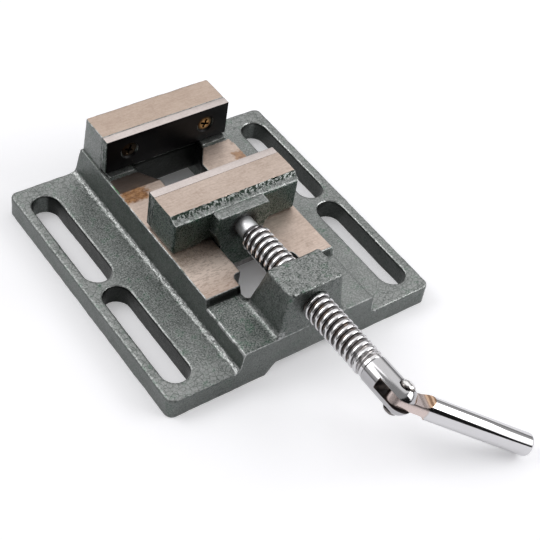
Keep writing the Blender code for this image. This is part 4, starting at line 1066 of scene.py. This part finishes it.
def makeHandle():
    sizes = handleSizes
    radius, length = sizes["radius"], sizes["length"]
    profile = [(0, radius), (radius, radius), (radius, -length), (0, -length)]
    bm = spinProfile(profile, 96, [(2, sizes["endRound"])])
    far = radius * 1.3
    for side in (-1, 1):
        half = sizes["tang"] / 2
        cutter = bmesh.new()
        bmesh.ops.create_circle(cutter, cap_ends=True, radius=sizes["shoulder"], segments=96)
        bmesh.ops.translate(cutter, vec=(half + sizes["shoulder"], -sizes["tangLength"], -far), verts=cutter.verts)
        made = bmesh.ops.extrude_face_region(cutter, geom=cutter.faces[:])
        moved = [item for item in made["geom"] if isinstance(item, bmesh.types.BMVert)]
        bmesh.ops.translate(cutter, vec=(0, 0, 2 * far), verts=moved)
        bmesh.ops.recalc_face_normals(cutter, faces=cutter.faces)
        if side < 0:
            turned(cutter, math.pi, "Y")
        bm = carve(bm, cutter)
        beside = (side * (half + far / 2), (far - sizes["tangLength"]) / 2, 0)
        bm = carve(bm, block((far, far + sizes["tangLength"], 2 * far), beside))
    nose = block((4 * radius, far, 4 * far), (0, far / 2, 0))  # leaves the tang's end round about the rivet
    post = rod(sizes["noseRadius"], -3 * radius, 3 * radius, 96)
    bore = rod(sizes["bore"], -far, far, 32)
    for part in (post, bore):
        turned(part, math.pi / 2, "Z")
    bm = carve(bm, carve(nose, post))
    bm = carve(bm, bore)
    turn = Matrix((rivetAxis, handleAxis, rivetAxis.cross(handleAxis))).transposed().to_4x4()
    placed(bm, Matrix.Translation(rivetPlace) @ turn)
    markSharp(bm, 34)
    return addPiece("handleLever", bm, [chromeHandle("chromeHandle")], "handle", ["handle_lever"])


rivet = makeRivet()
handle = makeHandle()
print("rivet and handle made:", len(handle.data.polygons), "faces")


# plates, screws and the keeper

fastener = {"head": 0.0037, "shank": 0.0020, "length": 0.0110, "cross": 0.0050, "arm": 0.00115, "deep": 0.0019}


def shownSide(cadNode):
    # the node's box, the way its face looks along Y, and where that face is
    low, high = (corner.copy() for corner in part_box(cadNode))
    facing = -1 if cadNode.startswith("fixed") else 1
    return low, high, facing, low.y if facing < 0 else high.y


def crossScrew(name, body, cadNode):
    # countersunk head with a tapered cross recess
    sizes = fastener
    low, high, facing, headY = shownSide(cadNode)
    place = (low + high) / 2
    head, shank = sizes["head"], sizes["shank"]
    profile = [(0, -0.00012), (head * 0.55, -0.00008), (head - 0.0001, 0.0001), (head, 0.0003),
               (shank, head - shank), (shank, sizes["length"] - 0.0016),
               (shank * 0.7, sizes["length"] - 0.0006), (0, sizes["length"] - 0.0006)]
    bm = spinProfile(profile, 48)
    for turn in (0, math.pi / 2):
        arm = block((sizes["cross"], sizes["deep"], sizes["arm"]), (0, sizes["deep"] * 0.35, 0))
        for vert in arm.verts:
            if vert.co.y > 0:
                vert.co.x *= 0.45
                vert.co.z *= 0.7
        turned(arm, turn + 0.35, "Y")
        bm = carve(bm, arm)
    if facing > 0:
        turned(bm, math.pi, "Z")
    bmesh.ops.translate(bm, vec=(place.x, headY, place.z), verts=bm.verts)
    markSharp(bm, 35)
    return addPiece(name, bm, [zinc], body, [cadNode])


plateSizes = {"gap": 0.00027, "round": 0.00025, "sink": 0.0044, "hole": 0.0022}


def jawPlate(name, body, cadNode, material):
    # the plate sits tight on its seat and has a soft edge and two countersinks
    sizes = plateSizes
    low, high, facing, faceY = shownSide(cadNode)
    if facing < 0:
        high.y += sizes["gap"]
    else:
        low.y -= sizes["gap"]
    bm = block(high - low, (low + high) / 2)
    bevelled(bm, bm.edges[:], sizes["round"], 3)
    for side in ("left", "right"):
        first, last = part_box(cadNode.replace("jaw_plate", "plate_screw_") + side)
        place = (first + last) / 2
        sink, hole = sizes["sink"], sizes["hole"]
        hollow = spinProfile([(0, 0.001), (sink + 0.001, 0.001), (hole, hole - sink),
                              (hole, -0.008), (0, -0.008)], 48)
        turned(hollow, math.pi if facing < 0 else 0.0, "Z")
        bmesh.ops.translate(hollow, vec=(place.x, faceY, place.z), verts=hollow.verts)
        bm = carve(bm, hollow)
    markSharp(bm, 40)
    return addPiece(name, bm, [material], body, [cadNode])


jawPlate("fixedPlate", "base", "fixed_jaw_plate", jawPlateFinish("fixedPlateBlack", 42.7))
jawPlate("movingPlate", "moving_jaw", "moving_jaw_plate", jawPlateFinish("movingPlateBlack", 43.0))
zinc = yellowZinc("yellowZinc")
for side in ("left", "right"):
    crossScrew("fixedScrew." + side, "base", "fixed_plate_screw_" + side)
    crossScrew("movingScrew." + side, "moving_jaw", "moving_plate_screw_" + side)


keeperSteel = oiledSteel("oiledSteel")
for name, node in nodes.items():
    if name.startswith(("keeper", "retaining")):
        node.data.materials.clear()
        node.data.materials.append(keeperSteel)
print("plates and fasteners done")

bpy.context.scene.view_settings.view_transform = "Standard"
bpy.context.view_layer.update()
